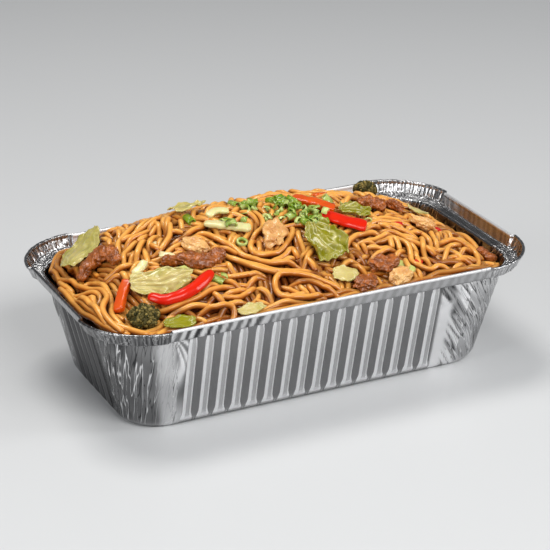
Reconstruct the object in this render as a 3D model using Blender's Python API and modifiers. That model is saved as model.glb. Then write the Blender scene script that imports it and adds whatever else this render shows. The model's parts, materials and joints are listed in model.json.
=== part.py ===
"""Foil tray meal: an open foil tray filled with fried noodles, meat and vegetables.

Metres, +Z up.  The tray's long side lies along X and the origin is in the middle
of the underside of its base.  The foil is one drawn sheet with ribbed walls, a ledge
and a folded rim.  The noodles are one heap out to its uneven outline, and each large
topping is a solid of its own that lies in a pocket of the heap.
"""
import math

import bmesh
import bpy
from mathutils import Matrix, Vector, noise

MM = 0.001

# Tray, in millimetres.
RIM_LENGTH = 215.0          # over the straight hems
RIM_WIDTH = 120.5
TRAY_HEIGHT = 55.4
RIM_BAND = 6.4              # height of the upright band round the rim
RIM_LEAN = 2.1              # how far the band leans out over its height
LEDGE_WIDTH = 5.0
BASE_LENGTH = 177.0
BASE_WIDTH = 82.5
RIM_CORNER = 30.0           # corner radii
LEDGE_CORNER = 26.0
BASE_CORNER = 18.0
FOOT_RADIUS = 3.5           # round from the base into the wall
FOIL = 0.45
CORNER_FLARE = 1.5          # the gathered corner flange stands out past the straight hems
PLEAT_DEPTH = 0.5
CORNER_STEPS = 10
HEM_WIDTH = 0.9             # folded edge
HEM_RISE = 0.7              # the fold's back rises this far above the band's edge
HEM_DROP = 0.6

# Pressed ribs.
RIB_WIDTH = 3.7
RIB_DEPTH = 1.05
RIB_SLOPE = 1.0             # width of each sloping flank
RIB_PITCH = 7.94
LONG_RIBS = 16
LONG_RIB_CENTRE = -5.1
SHORT_RIBS = 5
RIB_FOOT = 5.5              # heights between which a rib has its full depth
RIB_TOP = 45.5

# Heap of noodles.
GAP = 0.35                  # between pieces that touch
HEAP_EDGE = 50.0            # height where the heap meets the wall
HEAP_CROWN = 26.0           # rise of its crest above that
HEAP_RIDGE = 13.0           # y of the crest, behind the middle
LEFT_FULLNESS = 4.5         # exponents: the left end is fuller than the right
RIGHT_FULLNESS = 2.0
RIGHT_SLUMP_START = 60.0    # the right end sinks below the ledge
RIGHT_SLUMP = 7.0
FRONT_CURVE = 1.7           # exponents of the slopes in front of and behind the crest
BACK_CURVE = 2.0
HEAP_LUMPS = 1.7
WIDE_LUMP = (14.0, 11.0)    # sizes of the lumps along X and Y
SMALL_LUMP = (7.0, 6.0)
HEAP_SIDE = 38.0            # below this the heap's side follows the wall
HEAP_COLUMNS = 64
HEAP_RINGS = 9

# Toppings and the pockets that they lie in.
LEAF_THICKNESS = 1.5
SMALL_LEAF = 12.5           # leaves shorter than this have fewer folds
LEAF_ROUNDING = 0.3         # how much narrower a leaf's ends are than its middle
LEAF_SKEW = 0.12            # unevenness of its outline
LEAF_CUP = 0.09             # its sides curl up by this share of its width
LEAF_DROOP = 0.05           # its ends hang by this share of its length
SLICE_LIP = 0.8             # a curved slice's hollow side, as a share of its width
SLICE_DROP = 0.3            # how far down the hollow side starts
MEAT_LUMP = 3.1             # size of the lumps along a strip of meat
CHUNK_LUMP = 1.7            # lumps over a chunk of unit radius
TIP_SIZE = 0.45             # size of a strip's blunt ends, as a share of its middle
TIP_SHAPE = 4.0
FLORET_PROFILE = ((0.30, -0.75), (0.34, -0.35), (0.80, -0.12), (1.0, 0.18), (0.86, 0.55), (0.48, 0.86))
FLORET_STALK = 0.4          # the profile is stalk up to this radius, and lobed beyond it
FLORET_LOBES = 5
FLORET_LOBE = 0.13
FLAT_PATCH = 5.0            # reach over which the heap's slope is taken
POCKET_GAP = 0.4
STEEPEST_PUSH = 2.2         # limits how far a sharp corner of a pocket is pushed out
HULL_MERGE = math.radians(4)

LEDGE_HEIGHT = TRAY_HEIGHT - RIM_BAND
WALL_TOP_LENGTH = RIM_LENGTH - 2 * (RIM_LEAN + LEDGE_WIDTH)
WALL_TOP_WIDTH = RIM_WIDTH - 2 * (RIM_LEAN + LEDGE_WIDTH)


def clear_scene():
    """Remove what is in the scene."""
    for obj in list(bpy.data.objects):
        bpy.data.objects.remove(obj, do_unlink=True)


def new_collection(name):
    """A collection linked to the scene."""
    collection = bpy.data.collections.new(name)
    bpy.context.scene.collection.children.link(collection)
    return collection


def material(name, colour, roughness, metallic=0.0):
    """A plain Principled material."""
    mat = bpy.data.materials.new(name)
    mat.use_nodes = True
    shader = mat.node_tree.nodes["Principled BSDF"]
    shader.inputs["Base Color"].default_value = (*colour, 1.0)
    shader.inputs["Roughness"].default_value = roughness
    shader.inputs["Metallic"].default_value = metallic
    return mat


def mesh_object(name, bm, collection, mat):
    """Turn a bmesh in millimetres into an object in metres."""
    bmesh.ops.scale(bm, vec=(MM, MM, MM), verts=bm.verts)
    mesh = bpy.data.meshes.new(name)
    bm.to_mesh(mesh)
    bm.free()
    mesh.materials.append(mat)
    obj = bpy.data.objects.new(name, mesh)
    collection.objects.link(obj)
    return obj


def skin(bm, rings, close_first=True, close_last=True):
    """Join rings of equally many points by quads, and close the ends."""
    rows = [[bm.verts.new(point) for point in ring] for ring in rings]
    count = len(rows[0])
    for low, high in zip(rows, rows[1:]):
        for i in range(count):
            j = (i + 1) % count
            bm.faces.new((low[i], low[j], high[j], high[i]))
    if close_first:
        bm.faces.new(list(reversed(rows[0])))
    if close_last:
        bm.faces.new(rows[-1])
    return rows


# ---------------------------------------------------------------- tray

def rib_marks(count, centre):
    """Places along a side and how far out each is, as a share of the rib's depth."""
    marks = []
    for index in range(count):
        middle = centre + (index - (count - 1) / 2) * RIB_PITCH
        half = RIB_WIDTH / 2
        marks += [(middle - half, 0.0), (middle - half + RIB_SLOPE, 1.0),
                  (middle + half - RIB_SLOPE, 1.0), (middle + half, 0.0)]
    return marks


def tray_ring(length, width, radius, z, rib=0.0, flare=0.0, pleat=0.0):
    """One level of the tray, anticlockwise from the right end of the front side.

    The ribs keep their places along the sides at every level.  The corners are arcs
    whose points can stand out by a flare, with every other one pleated in.
    """
    half_x, half_y = length / 2, width / 2
    long_marks = rib_marks(LONG_RIBS, LONG_RIB_CENTRE)
    short_marks = rib_marks(SHORT_RIBS, 0.0)
    points = []

    def corner(sign_x, sign_y, start):
        cx, cy = sign_x * (half_x - radius), sign_y * (half_y - radius)
        for step in range(CORNER_STEPS + 1):
            angle = math.radians(start + 90 * step / CORNER_STEPS)
            inside = 0 < step < CORNER_STEPS
            reach = radius + (flare if inside else 0.0)
            reach -= pleat if inside and step % 2 else 0.0
            points.append(Vector((cx + reach * math.cos(angle), cy + reach * math.sin(angle), z)))

    for along, out in long_marks:
        points.append(Vector((along, -half_y - rib * out, z)))
    corner(1, -1, -90)
    for along, out in short_marks:
        points.append(Vector((half_x + rib * out, along, z)))
    corner(1, 1, 0)
    for along, out in reversed(long_marks):
        points.append(Vector((along, half_y + rib * out, z)))
    corner(-1, 1, 90)
    for along, out in reversed(short_marks):
        points.append(Vector((-half_x - rib * out, along, z)))
    corner(-1, -1, 180)
    return points


def wall_size(z):
    """Length, width and corner radius of the tray's wall at a height."""
    share = z / LEDGE_HEIGHT
    return (BASE_LENGTH + (WALL_TOP_LENGTH - BASE_LENGTH) * share,
            BASE_WIDTH + (WALL_TOP_WIDTH - BASE_WIDTH) * share,
            BASE_CORNER + (LEDGE_CORNER - BASE_CORNER) * share)


def foil_tray(collection, mat):
    """The drawn foil sheet, closed at the base and open at the top."""
    lean = 2 * RIM_LEAN
    hem = 2 * HEM_WIDTH
    rings = [tray_ring(BASE_LENGTH - 2 * FOOT_RADIUS, BASE_WIDTH - 2 * FOOT_RADIUS,
                       BASE_CORNER - FOOT_RADIUS, 0.0)]
    for z, rib in ((FOOT_RADIUS, 0.0), (RIB_FOOT, RIB_DEPTH), (RIB_TOP, RIB_DEPTH),
                   (LEDGE_HEIGHT, 0.0)):
        rings.append(tray_ring(*wall_size(z), z, rib=rib))
    rings.append(tray_ring(RIM_LENGTH - lean, RIM_WIDTH - lean, RIM_CORNER - RIM_LEAN,
                           LEDGE_HEIGHT))
    rings.append(tray_ring(RIM_LENGTH - hem, RIM_WIDTH - hem, RIM_CORNER - HEM_WIDTH,
                           TRAY_HEIGHT - HEM_RISE, flare=CORNER_FLARE, pleat=PLEAT_DEPTH))
    rings.append(tray_ring(RIM_LENGTH, RIM_WIDTH, RIM_CORNER,
                           TRAY_HEIGHT - HEM_RISE - HEM_DROP,
                           flare=CORNER_FLARE, pleat=PLEAT_DEPTH))
    bm = bmesh.new()
    skin(bm, rings, close_last=False)
    bm.normal_update()
    bmesh.ops.dissolve_limit(bm, angle_limit=math.radians(0.1), verts=bm.verts, edges=bm.edges)
    tray = mesh_object("foil_tray", bm, collection, mat)
    wall = tray.modifiers.new("foil", "SOLIDIFY")
    wall.thickness = FOIL * MM
    wall.offset = -1.0
    wall.use_even_offset = True
    return tray


# ---------------------------------------------------------------- heap

def heap_height(x, y):
    """Height of the heap above the table at a place inside the tray."""
    share = min(abs(x) / (WALL_TOP_LENGTH / 2), 1.0)
    fullness = LEFT_FULLNESS if x < 0 else RIGHT_FULLNESS
    crown = HEAP_CROWN * (1 - share ** fullness)
    if y < HEAP_RIDGE:
        across = 1 - ((HEAP_RIDGE - y) / (WALL_TOP_WIDTH / 2 + HEAP_RIDGE)) ** FRONT_CURVE
    else:
        across = 1 - ((y - HEAP_RIDGE) / (WALL_TOP_WIDTH / 2 - HEAP_RIDGE)) ** BACK_CURVE
    z = HEAP_EDGE + crown * max(across, 0.0)
    if x > RIGHT_SLUMP_START:
        z -= RIGHT_SLUMP * ((x - RIGHT_SLUMP_START) / (WALL_TOP_LENGTH / 2 - RIGHT_SLUMP_START)) ** 2
    lumps = noise.noise(Vector((x / WIDE_LUMP[0], y / WIDE_LUMP[1], 3.0)))
    lumps += 0.5 * noise.noise(Vector((x / SMALL_LUMP[0], y / SMALL_LUMP[1], 8.0)))
    return z + HEAP_LUMPS * lumps


def heap_outline(z, inset):
    """Rounded rectangle just inside the wall at a height, evenly divided round."""
    length, width, radius = wall_size(min(z, LEDGE_HEIGHT))
    half_x, half_y = length / 2 - inset, width / 2 - inset
    radius -= inset
    straight_x, straight_y = 2 * (half_x - radius), 2 * (half_y - radius)
    arc = math.pi / 2 * radius
    sides = ((straight_y, 1, 0, 0), (straight_x, 0, 1, 90), (straight_y, -1, 0, 180),
             (straight_x, 0, -1, 270))
    total = 2 * (straight_x + straight_y) + 4 * arc
    points = []
    for index in range(HEAP_COLUMNS):
        run = total * index / HEAP_COLUMNS
        for straight, face_x, face_y, start in sides:
            if run <= straight:
                along = run - straight / 2
                points.append((face_x * half_x - face_y * along, face_y * half_y + face_x * along))
                break
            run -= straight
            if run <= arc:
                angle = math.radians(start) + run / radius
                cx = (half_x - radius) * (face_x - face_y)
                cy = (half_y - radius) * (face_y + face_x)
                points.append((cx + radius * math.cos(angle), cy + radius * math.sin(angle)))
                break
            run -= arc
    return points


def noodle_heap(collection, mat):
    """The heap of noodles: it fills the tray and rises over its rim."""
    clear = FOIL * 1.2 + GAP
    floor = FOIL + GAP
    rings = []
    for z, extra in ((floor, FOOT_RADIUS), (FOOT_RADIUS + floor, 0.0), (HEAP_SIDE, 0.0)):
        rings.append([Vector((x, y, z)) for x, y in heap_outline(z, clear + extra)])
    low, high = heap_outline(HEAP_SIDE, clear), heap_outline(LEDGE_HEIGHT, clear)
    edge = []
    for (low_x, low_y), (high_x, high_y) in zip(low, high):
        rise = (heap_height(high_x, high_y) - HEAP_SIDE) / (LEDGE_HEIGHT - HEAP_SIDE)
        rise = min(max(rise, 0.0), 1.0)
        edge.append((low_x + (high_x - low_x) * rise, low_y + (high_y - low_y) * rise))
    for ring in range(HEAP_RINGS):
        share = 1 - ring / HEAP_RINGS
        rings.append([Vector((x * share, y * share, heap_height(x * share, y * share)))
                      for x, y in edge])
    bm = bmesh.new()
    rows = skin(bm, rings, close_last=False)
    peak = bm.verts.new((0.0, 0.0, heap_height(0.0, 0.0)))
    top = rows[-1]
    for i, vert in enumerate(top):
        bm.faces.new((vert, top[(i + 1) % len(top)], peak))
    bmesh.ops.triangulate(bm, faces=bm.faces)
    return mesh_object("noodles", bm, collection, mat)


# ---------------------------------------------------------------- placing on the heap

def heap_point(x, y, lift=0.0):
    """A point over the heap."""
    return Vector((x, y, heap_height(x, y) + lift))


def heap_normal(x, y):
    """Upward normal of the heap, taken over a wide patch."""
    reach = FLAT_PATCH
    slope_x = (heap_height(x + reach, y) - heap_height(x - reach, y)) / (2 * reach)
    slope_y = (heap_height(x, y + reach) - heap_height(x, y - reach)) / (2 * reach)
    return Vector((-slope_x, -slope_y, 1.0)).normalized()


def heap_frame(x, y, yaw, lift, tilt=0.0, roll=0.0):
    """Frame on the heap: local X runs at the yaw angle, local Z is the heap's normal."""
    up = heap_normal(x, y)
    ahead = Vector((math.cos(math.radians(yaw)), math.sin(math.radians(yaw)), 0.0))
    side = up.cross(ahead).normalized()
    ahead = side.cross(up)
    turn = Matrix((ahead, side, up)).transposed().to_4x4()
    lean = Matrix.Rotation(math.radians(tilt), 4, "Y") @ Matrix.Rotation(math.radians(roll), 4, "X")
    return Matrix.Translation(heap_point(x, y, lift)) @ turn @ lean


def smooth_path(points, count):
    """Points spaced along a Catmull-Rom curve through the given ones."""
    padded = [points[0] * 2 - points[1], *points, points[-1] * 2 - points[-2]]
    spans = len(points) - 1
    path = []
    for index in range(count):
        place = spans * index / (count - 1)
        span = min(int(place), spans - 1)
        t = place - span
        a, b, c, d = padded[span:span + 4]
        path.append(0.5 * (2 * b + (c - a) * t + (2 * a - 5 * b + 4 * c - d) * t ** 2
                           + (3 * b - a - 3 * c + d) * t ** 3))
    return path


# ---------------------------------------------------------------- toppings

def oval(count, square=1.0):
    """Points round an oval of unit half-widths; square below 1 makes it boxier."""
    points = []
    for i in range(count):
        angle = 2 * math.pi * (i + 0.5) / count
        c, s = math.cos(angle), math.sin(angle)
        points.append((math.copysign(abs(c) ** square, c), math.copysign(abs(s) ** square, s)))
    return points


def crescent(count, hollow):
    """Section of a curved slice of wall: bulging above, hollow below."""
    half = count // 2
    top = [(math.cos(math.pi * i / half), math.sin(math.pi * i / half)) for i in range(half + 1)]
    under = [(SLICE_LIP * math.cos(math.pi * i / half),
              hollow * math.sin(math.pi * i / half) - SLICE_DROP) for i in range(half - 1, 0, -1)]
    return top + under


def strip(spec, collection, mat, section, stations, rough=0.0):
    """A strip lofted along a smooth path that lies on the heap."""
    name, places, width, height, twist = spec
    path = smooth_path([heap_point(x, y, lift) for x, y, lift in places], stations)
    rings = []
    for index, centre in enumerate(path):
        share = index / (stations - 1)
        before, after = path[max(index - 1, 0)], path[min(index + 1, stations - 1)]
        ahead = (after - before).normalized()
        side = heap_normal(centre.x, centre.y).cross(ahead).normalized()
        up = ahead.cross(side)
        taper = TIP_SIZE + (1 - TIP_SIZE) * math.sqrt(1 - abs(2 * share - 1) ** TIP_SHAPE)
        turn = math.radians(twist) * (share - 0.5)
        ring = []
        for across, above in section:
            u = across * math.cos(turn) - above * math.sin(turn) * height / width
            v = above * math.cos(turn) + across * math.sin(turn) * width / height
            point = centre + side * (u * width / 2 * taper) + up * (v * height / 2 * taper)
            swell = 1 + rough * noise.noise(point / MEAT_LUMP)
            ring.append(centre + (point - centre) * swell)
        rings.append(ring)
    bm = bmesh.new()
    skin(bm, rings)
    bmesh.ops.recalc_face_normals(bm, faces=bm.faces)
    return mesh_object(name, bm, collection, mat)


def leaf(spec, collection, mat):
    """A crumpled piece of leaf: a bent sheet with wavy folds, given its thickness."""
    name, x, y, yaw, length, width, folds, lift, roll = spec
    columns, rows = (6, 4) if length > SMALL_LEAF else (5, 3)
    bm = bmesh.new()
    grid = bmesh.ops.create_grid(bm, x_segments=columns - 1, y_segments=rows - 1, size=1.0)
    for vert in grid["verts"]:
        u, v = vert.co.x, vert.co.y
        narrow = 1 - LEAF_ROUNDING * u ** 2 + LEAF_SKEW * math.sin(3 * u + x)
        wave = math.sin(2.6 * v + 1.3 * u + x) + 0.5 * math.sin(4.1 * u + y)
        bend = LEAF_CUP * width * (v ** 2 - 0.4) - LEAF_DROOP * length * u ** 2
        vert.co = Vector((u * length / 2 * (1 - 0.1 * v ** 2), v * width / 2 * narrow,
                          folds * wave * (0.4 + 0.6 * abs(v)) + bend))
    bmesh.ops.transform(bm, matrix=heap_frame(x, y, yaw, lift, roll=roll), verts=bm.verts)
    obj = mesh_object(name, bm, collection, mat)
    sheet = obj.modifiers.new("leaf thickness", "SOLIDIFY")
    sheet.thickness = LEAF_THICKNESS * MM
    sheet.offset = 0.0
    sheet.use_even_offset = True
    return obj


def chunk(spec, collection, mat, rough):
    """A lump of meat: a ball stretched to its size with worn flats and hollows."""
    name, x, y, yaw, length, width, height, lift = spec
    bm = bmesh.new()
    bmesh.ops.create_icosphere(bm, subdivisions=2, radius=1.0)
    for vert in bm.verts:
        swell = 1 + rough * noise.noise(vert.co * CHUNK_LUMP + Vector((x, y, 0.0)))
        vert.co = Vector((vert.co.x * swell * length / 2, vert.co.y * swell * width / 2,
                          vert.co.z * swell * height / 2))
    bmesh.ops.transform(bm, matrix=heap_frame(x, y, yaw, lift), verts=bm.verts)
    return mesh_object(name, bm, collection, mat)


def floret(spec, collection, mat):
    """A broccoli floret: a lobed dome that narrows to its stalk."""
    name, x, y, yaw, radius, lift, roll = spec
    around = 3 * FLORET_LOBES
    rings = []
    for reach, level in FLORET_PROFILE:
        lobe = FLORET_LOBE if reach > FLORET_STALK else 0.0
        rings.append([])
        for a in (2 * math.pi * i / around for i in range(around)):
            out = radius * reach * (1 + lobe * math.cos(FLORET_LOBES * a))
            rings[-1].append(Vector((out * math.cos(a), out * math.sin(a), radius * level)))
    bm = bmesh.new()
    skin(bm, rings)
    bmesh.ops.transform(bm, matrix=heap_frame(x, y, yaw, lift, roll=roll), verts=bm.verts)
    return mesh_object(name, bm, collection, mat)


# Leaves: name, x, y, yaw, length, width, height of the folds, lift, roll.
LEAVES = (
    ("cabbage_leaf_1", -86, 23, 40, 29, 15, 1.0, 0.9, 12),
    ("cabbage_leaf_2", -68.5, -26.2, -13, 26, 11, 1.2, 0.9, 18),
    ("cabbage_leaf_3", -69, -48, 0, 14, 6, 0.5, 0.3, 0),
    ("cabbage_leaf_4", -35.5, -48.7, 2, 12, 5, 0.4, 0.2, 0),
    ("cabbage_leaf_5", -35, 20.5, 22, 20, 9, 0.8, 0.3, 0),
    ("cabbage_leaf_6", 12, -24.8, -78, 22, 17, 2.0, 1.7, 0),
    ("cabbage_leaf_7", 38, -4.3, -14, 15, 7, 0.9, 0.5, 10),
    ("cabbage_leaf_8", 77, 5.5, -5, 11, 7, 0.6, 0.3, 0),
    ("cabbage_leaf_9", 13.7, -41.6, -20, 11, 7.5, 0.6, 0.3, 0),
)
# Strips: name, places as (x, y, lift), width, height, twist in degrees.
STEMS = (
    ("cabbage_stem_1", ((-35, 1.5, 0.2), (-26, -4.6, 0.4), (-16.5, -7.8, 0.2)), 5.0, 2.6, 20),
    ("cabbage_stem_2", ((-76.5, -16.3, 0.1), (-73, -14.3, 0.4), (-69.5, -12, 0.2)), 4.0, 2.4, 0),
    ("onion_curl", ((-31, 6.8, 0.1), (-26.5, 8.8, 0.5), (-20.5, 7.2, 0.1)), 4.0, 2.0, 0),
)
BEEF_STRIPS = (
    ("beef_1", ((-94, 4, 0.0), (-90, 7, 0.9), (-84.5, 7.4, 1.5), (-80.5, 2.6, 1.1), (-79.5, -3.5, 0.0)),
     6.5, 4.5, 30),
    ("beef_2", ((-63.4, -15, 0.0), (-53.4, -18, 0.7), (-44.4, -21.7, 0.4), (-35.2, -19.7, 0.7)),
     6.5, 4.6, 120),
    ("beef_3", ((43.5, 3.8, -0.3), (50, 2.6, 0.3), (57, 1.2, -0.3)), 6.5, 4.2, 40),
    ("beef_7", ((94, -23, 0.6), (96, -28, 0.9), (95, -34, 0.6)), 5.0, 3.8, 20),
)
BEEF_CHUNKS = (
    ("beef_4", 65, 5.8, -20, 8.0, 5.5, 4.5, -0.3),
    ("beef_5", 34.6, -39.4, 8, 13.5, 7.5, 5.6, 0.3),
    ("beef_6", 21.3, -47.3, 8, 11.0, 7.0, 5.0, 0.3),
)
CHICKEN_CHUNKS = (
    ("chicken_1", -45.9, -12, -60, 11.5, 7.0, 5.0, 0.3),
    ("chicken_2", -9, -16.0, 60, 14.0, 9.5, 7.6, 1.3),
    ("chicken_3", 71, -11, -20, 11.0, 6.5, 5.0, 0.4),
    ("chicken_4", 38.9, -46.4, 20, 11.0, 7.5, 5.0, 0.2),
)
# Curved slices of pepper.
PEPPERS = (
    ("red_pepper_1", ((-76.5, -31.8, 1.0), (-70, -37, 1.2), (-58, -36, 1.2), (-45.5, -29.5, 1.0)),
     5.8, 4.8, 30),
    ("red_pepper_2", ((20, -6.5, 0.6), (28, -13, 1.0), (36.7, -18, 0.6)), 7.5, 4.0, 0),
)
CARROTS = (
    ("carrot_1", ((-80.7, -18.3, 0.4), (-85.5, -23.8, 0.6), (-90.5, -32, 0.4)), 4.6, 3.2, 20),
    ("carrot_2", ((13, 9.5, 0.4), (21, 1.5, 0.8), (27.6, -4.0, 0.4)), 5.5, 3.2, 0),
)
# Florets: name, x, y, yaw, radius, lift, roll.
FLORETS = (
    ("broccoli_1", -82.3, -40.3, 0, 6.7, -1.6, -15),
    ("broccoli_2", 65, 35, 0, 5.8, 0.6, 0),
)


def toppings(collection):
    """Every large topping, as a list of objects."""
    cabbage = material("cabbage", (0.55, 0.60, 0.22), 0.35)
    beef = material("beef", (0.13, 0.045, 0.018), 0.45)
    chicken = material("chicken", (0.62, 0.36, 0.15), 0.45)
    pepper = material("red pepper", (0.62, 0.035, 0.012), 0.25)
    carrot = material("carrot", (0.75, 0.20, 0.02), 0.35)
    broccoli = material("broccoli", (0.07, 0.10, 0.02), 0.7)
    made = [leaf(spec, collection, cabbage) for spec in LEAVES]
    made += [strip(spec, collection, cabbage, oval(6), 5) for spec in STEMS]
    made += [strip(spec, collection, beef, oval(7), 7, rough=0.5) for spec in BEEF_STRIPS]
    made += [chunk(spec, collection, beef, 0.4) for spec in BEEF_CHUNKS]
    made += [chunk(spec, collection, chicken, 0.3) for spec in CHICKEN_CHUNKS]
    made += [strip(spec, collection, pepper, crescent(8, 0.1), 7) for spec in PEPPERS]
    made += [strip(spec, collection, carrot, oval(8, 0.6), 5) for spec in CARROTS]
    made += [floret(spec, collection, broccoli) for spec in FLORETS]
    return made


def pocket_mesh(piece, graph):
    """The piece grown by the gap.  A crumpled leaf's pocket is its hull: one clean hollow."""
    mesh = bpy.data.meshes.new_from_object(piece.evaluated_get(graph))
    bm = bmesh.new()
    bm.from_mesh(mesh)
    if piece.modifiers:
        bmesh.ops.delete(bm, geom=bm.edges[:], context="EDGES_FACES")
        bmesh.ops.convex_hull(bm, input=bm.verts)
        loose = [vert for vert in bm.verts if not vert.link_faces]
        bmesh.ops.delete(bm, geom=loose, context="VERTS")
        bm.normal_update()
        bmesh.ops.dissolve_limit(bm, angle_limit=HULL_MERGE, verts=bm.verts, edges=bm.edges)
        bmesh.ops.recalc_face_normals(bm, faces=bm.faces)
    bmesh.ops.triangulate(bm, faces=bm.faces)
    bm.normal_update()
    pushes = [vert.normal * (POCKET_GAP * MM * min(vert.calc_shell_factor(), STEEPEST_PUSH))
              for vert in bm.verts]
    for vert, push in zip(bm.verts, pushes):
        vert.co += push
    bm.to_mesh(mesh)
    bm.free()
    return mesh


def cut_pockets(heap, pieces, cutters):
    """Hollow the heap so that each topping lies in it with an even gap."""
    bpy.context.view_layer.update()
    graph = bpy.context.evaluated_depsgraph_get()
    for piece in pieces:
        cutter = bpy.data.objects.new("pocket_" + piece.name, pocket_mesh(piece, graph))
        cutter.hide_render = True
        cutter.display_type = "WIRE"
        cutters.objects.link(cutter)
        pocket = heap.modifiers.new(cutter.name, "BOOLEAN")
        pocket.operation = "DIFFERENCE"
        pocket.solver = "EXACT"
        pocket.object = cutter


def main():
    clear_scene()
    meal = new_collection("foil tray meal")
    cutters = new_collection("pockets")
    foil_tray(meal, material("foil", (0.72, 0.72, 0.73), 0.25, 1.0))
    heap = noodle_heap(meal, material("noodles", (0.62, 0.27, 0.07), 0.35))
    cut_pockets(heap, toppings(meal), cutters)


main()
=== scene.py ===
"""Foil tray meal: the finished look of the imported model.

The foil tray, the strands of noodle and every topping are modelled here around the
solids of the frame.  Lengths are in millimetres until a mesh is made, and +Z is up.
"""

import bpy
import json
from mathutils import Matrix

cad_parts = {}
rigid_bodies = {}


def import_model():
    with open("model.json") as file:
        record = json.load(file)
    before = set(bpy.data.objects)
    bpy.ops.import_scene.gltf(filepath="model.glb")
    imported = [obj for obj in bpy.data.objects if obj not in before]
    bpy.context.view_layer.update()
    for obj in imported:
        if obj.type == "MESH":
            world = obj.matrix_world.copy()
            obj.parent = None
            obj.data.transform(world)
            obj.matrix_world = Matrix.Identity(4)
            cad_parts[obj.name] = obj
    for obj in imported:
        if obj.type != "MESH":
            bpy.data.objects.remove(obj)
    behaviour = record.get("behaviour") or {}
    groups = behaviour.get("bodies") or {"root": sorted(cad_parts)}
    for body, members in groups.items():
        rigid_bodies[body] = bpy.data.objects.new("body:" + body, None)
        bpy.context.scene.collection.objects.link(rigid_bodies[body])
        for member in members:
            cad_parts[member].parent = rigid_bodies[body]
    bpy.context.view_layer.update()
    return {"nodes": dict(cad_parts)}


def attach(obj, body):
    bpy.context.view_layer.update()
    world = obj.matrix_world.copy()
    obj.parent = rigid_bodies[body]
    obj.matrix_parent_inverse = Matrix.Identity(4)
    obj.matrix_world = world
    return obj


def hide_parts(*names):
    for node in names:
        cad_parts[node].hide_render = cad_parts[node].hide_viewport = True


bl_info = {
    "name": "Foil tray meal",
    "version": (1, 0, 0),
    "blender": (4, 5, 0),
    "location": "View3D > Sidebar > Tray meal",
    "description": "Builds a foil tray filled with fried noodles, meat and vegetables",
    "category": "Add Mesh",
}

import json
import math

import bmesh
import bpy
import numpy as np
from bpy.props import FloatProperty, FloatVectorProperty, IntProperty, PointerProperty
from mathutils import Matrix, Vector, noise
from mathutils.bvhtree import BVHTree

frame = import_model()

MM = 0.001
BODY = "root"
TURN = 2 * math.pi

# Tray.
RIM_LENGTH, RIM_WIDTH, TRAY_HEIGHT = 215.0, 120.5, 55.4
RIM_BAND, RIM_LEAN, LEDGE_WIDTH = 6.4, 2.1, 5.0
BASE_LENGTH, BASE_WIDTH = 177.0, 82.5
RIM_CORNER, LEDGE_CORNER, BASE_CORNER, FOOT_RADIUS = 30.0, 26.0, 18.0, 3.5
CORNER_FLARE, HEM_WIDTH, HEM_RISE = 1.5, 0.9, 0.7
RIB_WIDTH, RIB_DEPTH, RIB_SLOPE, RIB_PITCH = 3.7, 1.05, 1.0, 7.94
RIB_FOOT, RIB_TOP = 5.5, 45.5
LONG_RIBS, LONG_RIB_CENTRE, SHORT_RIBS = 16, -5.1, 5
LEDGE_HEIGHT = TRAY_HEIGHT - RIM_BAND
WALL_TOP_LENGTH = RIM_LENGTH - 2 * (RIM_LEAN + LEDGE_WIDTH)
WALL_TOP_WIDTH = RIM_WIDTH - 2 * (RIM_LEAN + LEDGE_WIDTH)

# Heap.
HEAP_EDGE, HEAP_CROWN, HEAP_RIDGE = 50.0, 26.0, 13.0
LEFT_FULLNESS, RIGHT_FULLNESS = 4.5, 2.0
RIGHT_SLUMP_START, RIGHT_SLUMP = 60.0, 7.0
FRONT_CURVE, BACK_CURVE = 1.7, 2.0
HEAP_LUMPS, WIDE_LUMP, SMALL_LUMP = 1.7, (14.0, 11.0), (7.0, 6.0)
FLAT_PATCH = 5.0            # reach over which the heap's slope is taken

# Pile map on which the strands are laid.
CELL, MAP_X, MAP_Y = 0.5, 105.0, 57.0
STRAND_STEP = 1.1
STEEPEST = 0.34             # slope at which a strand can fall, against the heap's own slope


# ---- numbers

def unit(value):
    """The value held between 0 and 1."""
    return min(max(value, 0.0), 1.0)


def smoothstep(value):
    """Smooth ramp from 0 to 1."""
    value = unit(value)
    return value * value * (3 - 2 * value)


def noise_at(x, y, z):
    """Smooth noise at a place, about -1 to 1."""
    return noise.noise(Vector((x, y, z)))


def octaves(point, size, count=3, seed=0.0):
    """Noise at several sizes, about -1 to 1."""
    total, weight = 0.0, 1.0
    for step in range(count):
        total += weight * noise.noise(point / size + Vector((seed + step * 7.1, step * 3.3, seed)))
        size *= 0.5
        weight *= 0.55
    return total


def spline(a, b, c, d, t):
    """Place on a Catmull-Rom curve between its points b and c."""
    return 0.5 * (2 * b + (c - a) * t + (2 * a - 5 * b + 4 * c - d) * t ** 2
                  + (3 * b - a - 3 * c + d) * t ** 3)


def scaled(colour, factors):
    """A colour with its parts multiplied."""
    return tuple(c * f for c, f in zip(colour, factors))


# ---- heap

def wall_size(z):
    """Length, width and corner radius of the tray's wall at a height."""
    share = np.minimum(z, LEDGE_HEIGHT) / LEDGE_HEIGHT
    return [low + (high - low) * share for low, high in (
        (BASE_LENGTH, WALL_TOP_LENGTH), (BASE_WIDTH, WALL_TOP_WIDTH), (BASE_CORNER, LEDGE_CORNER))]


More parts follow.
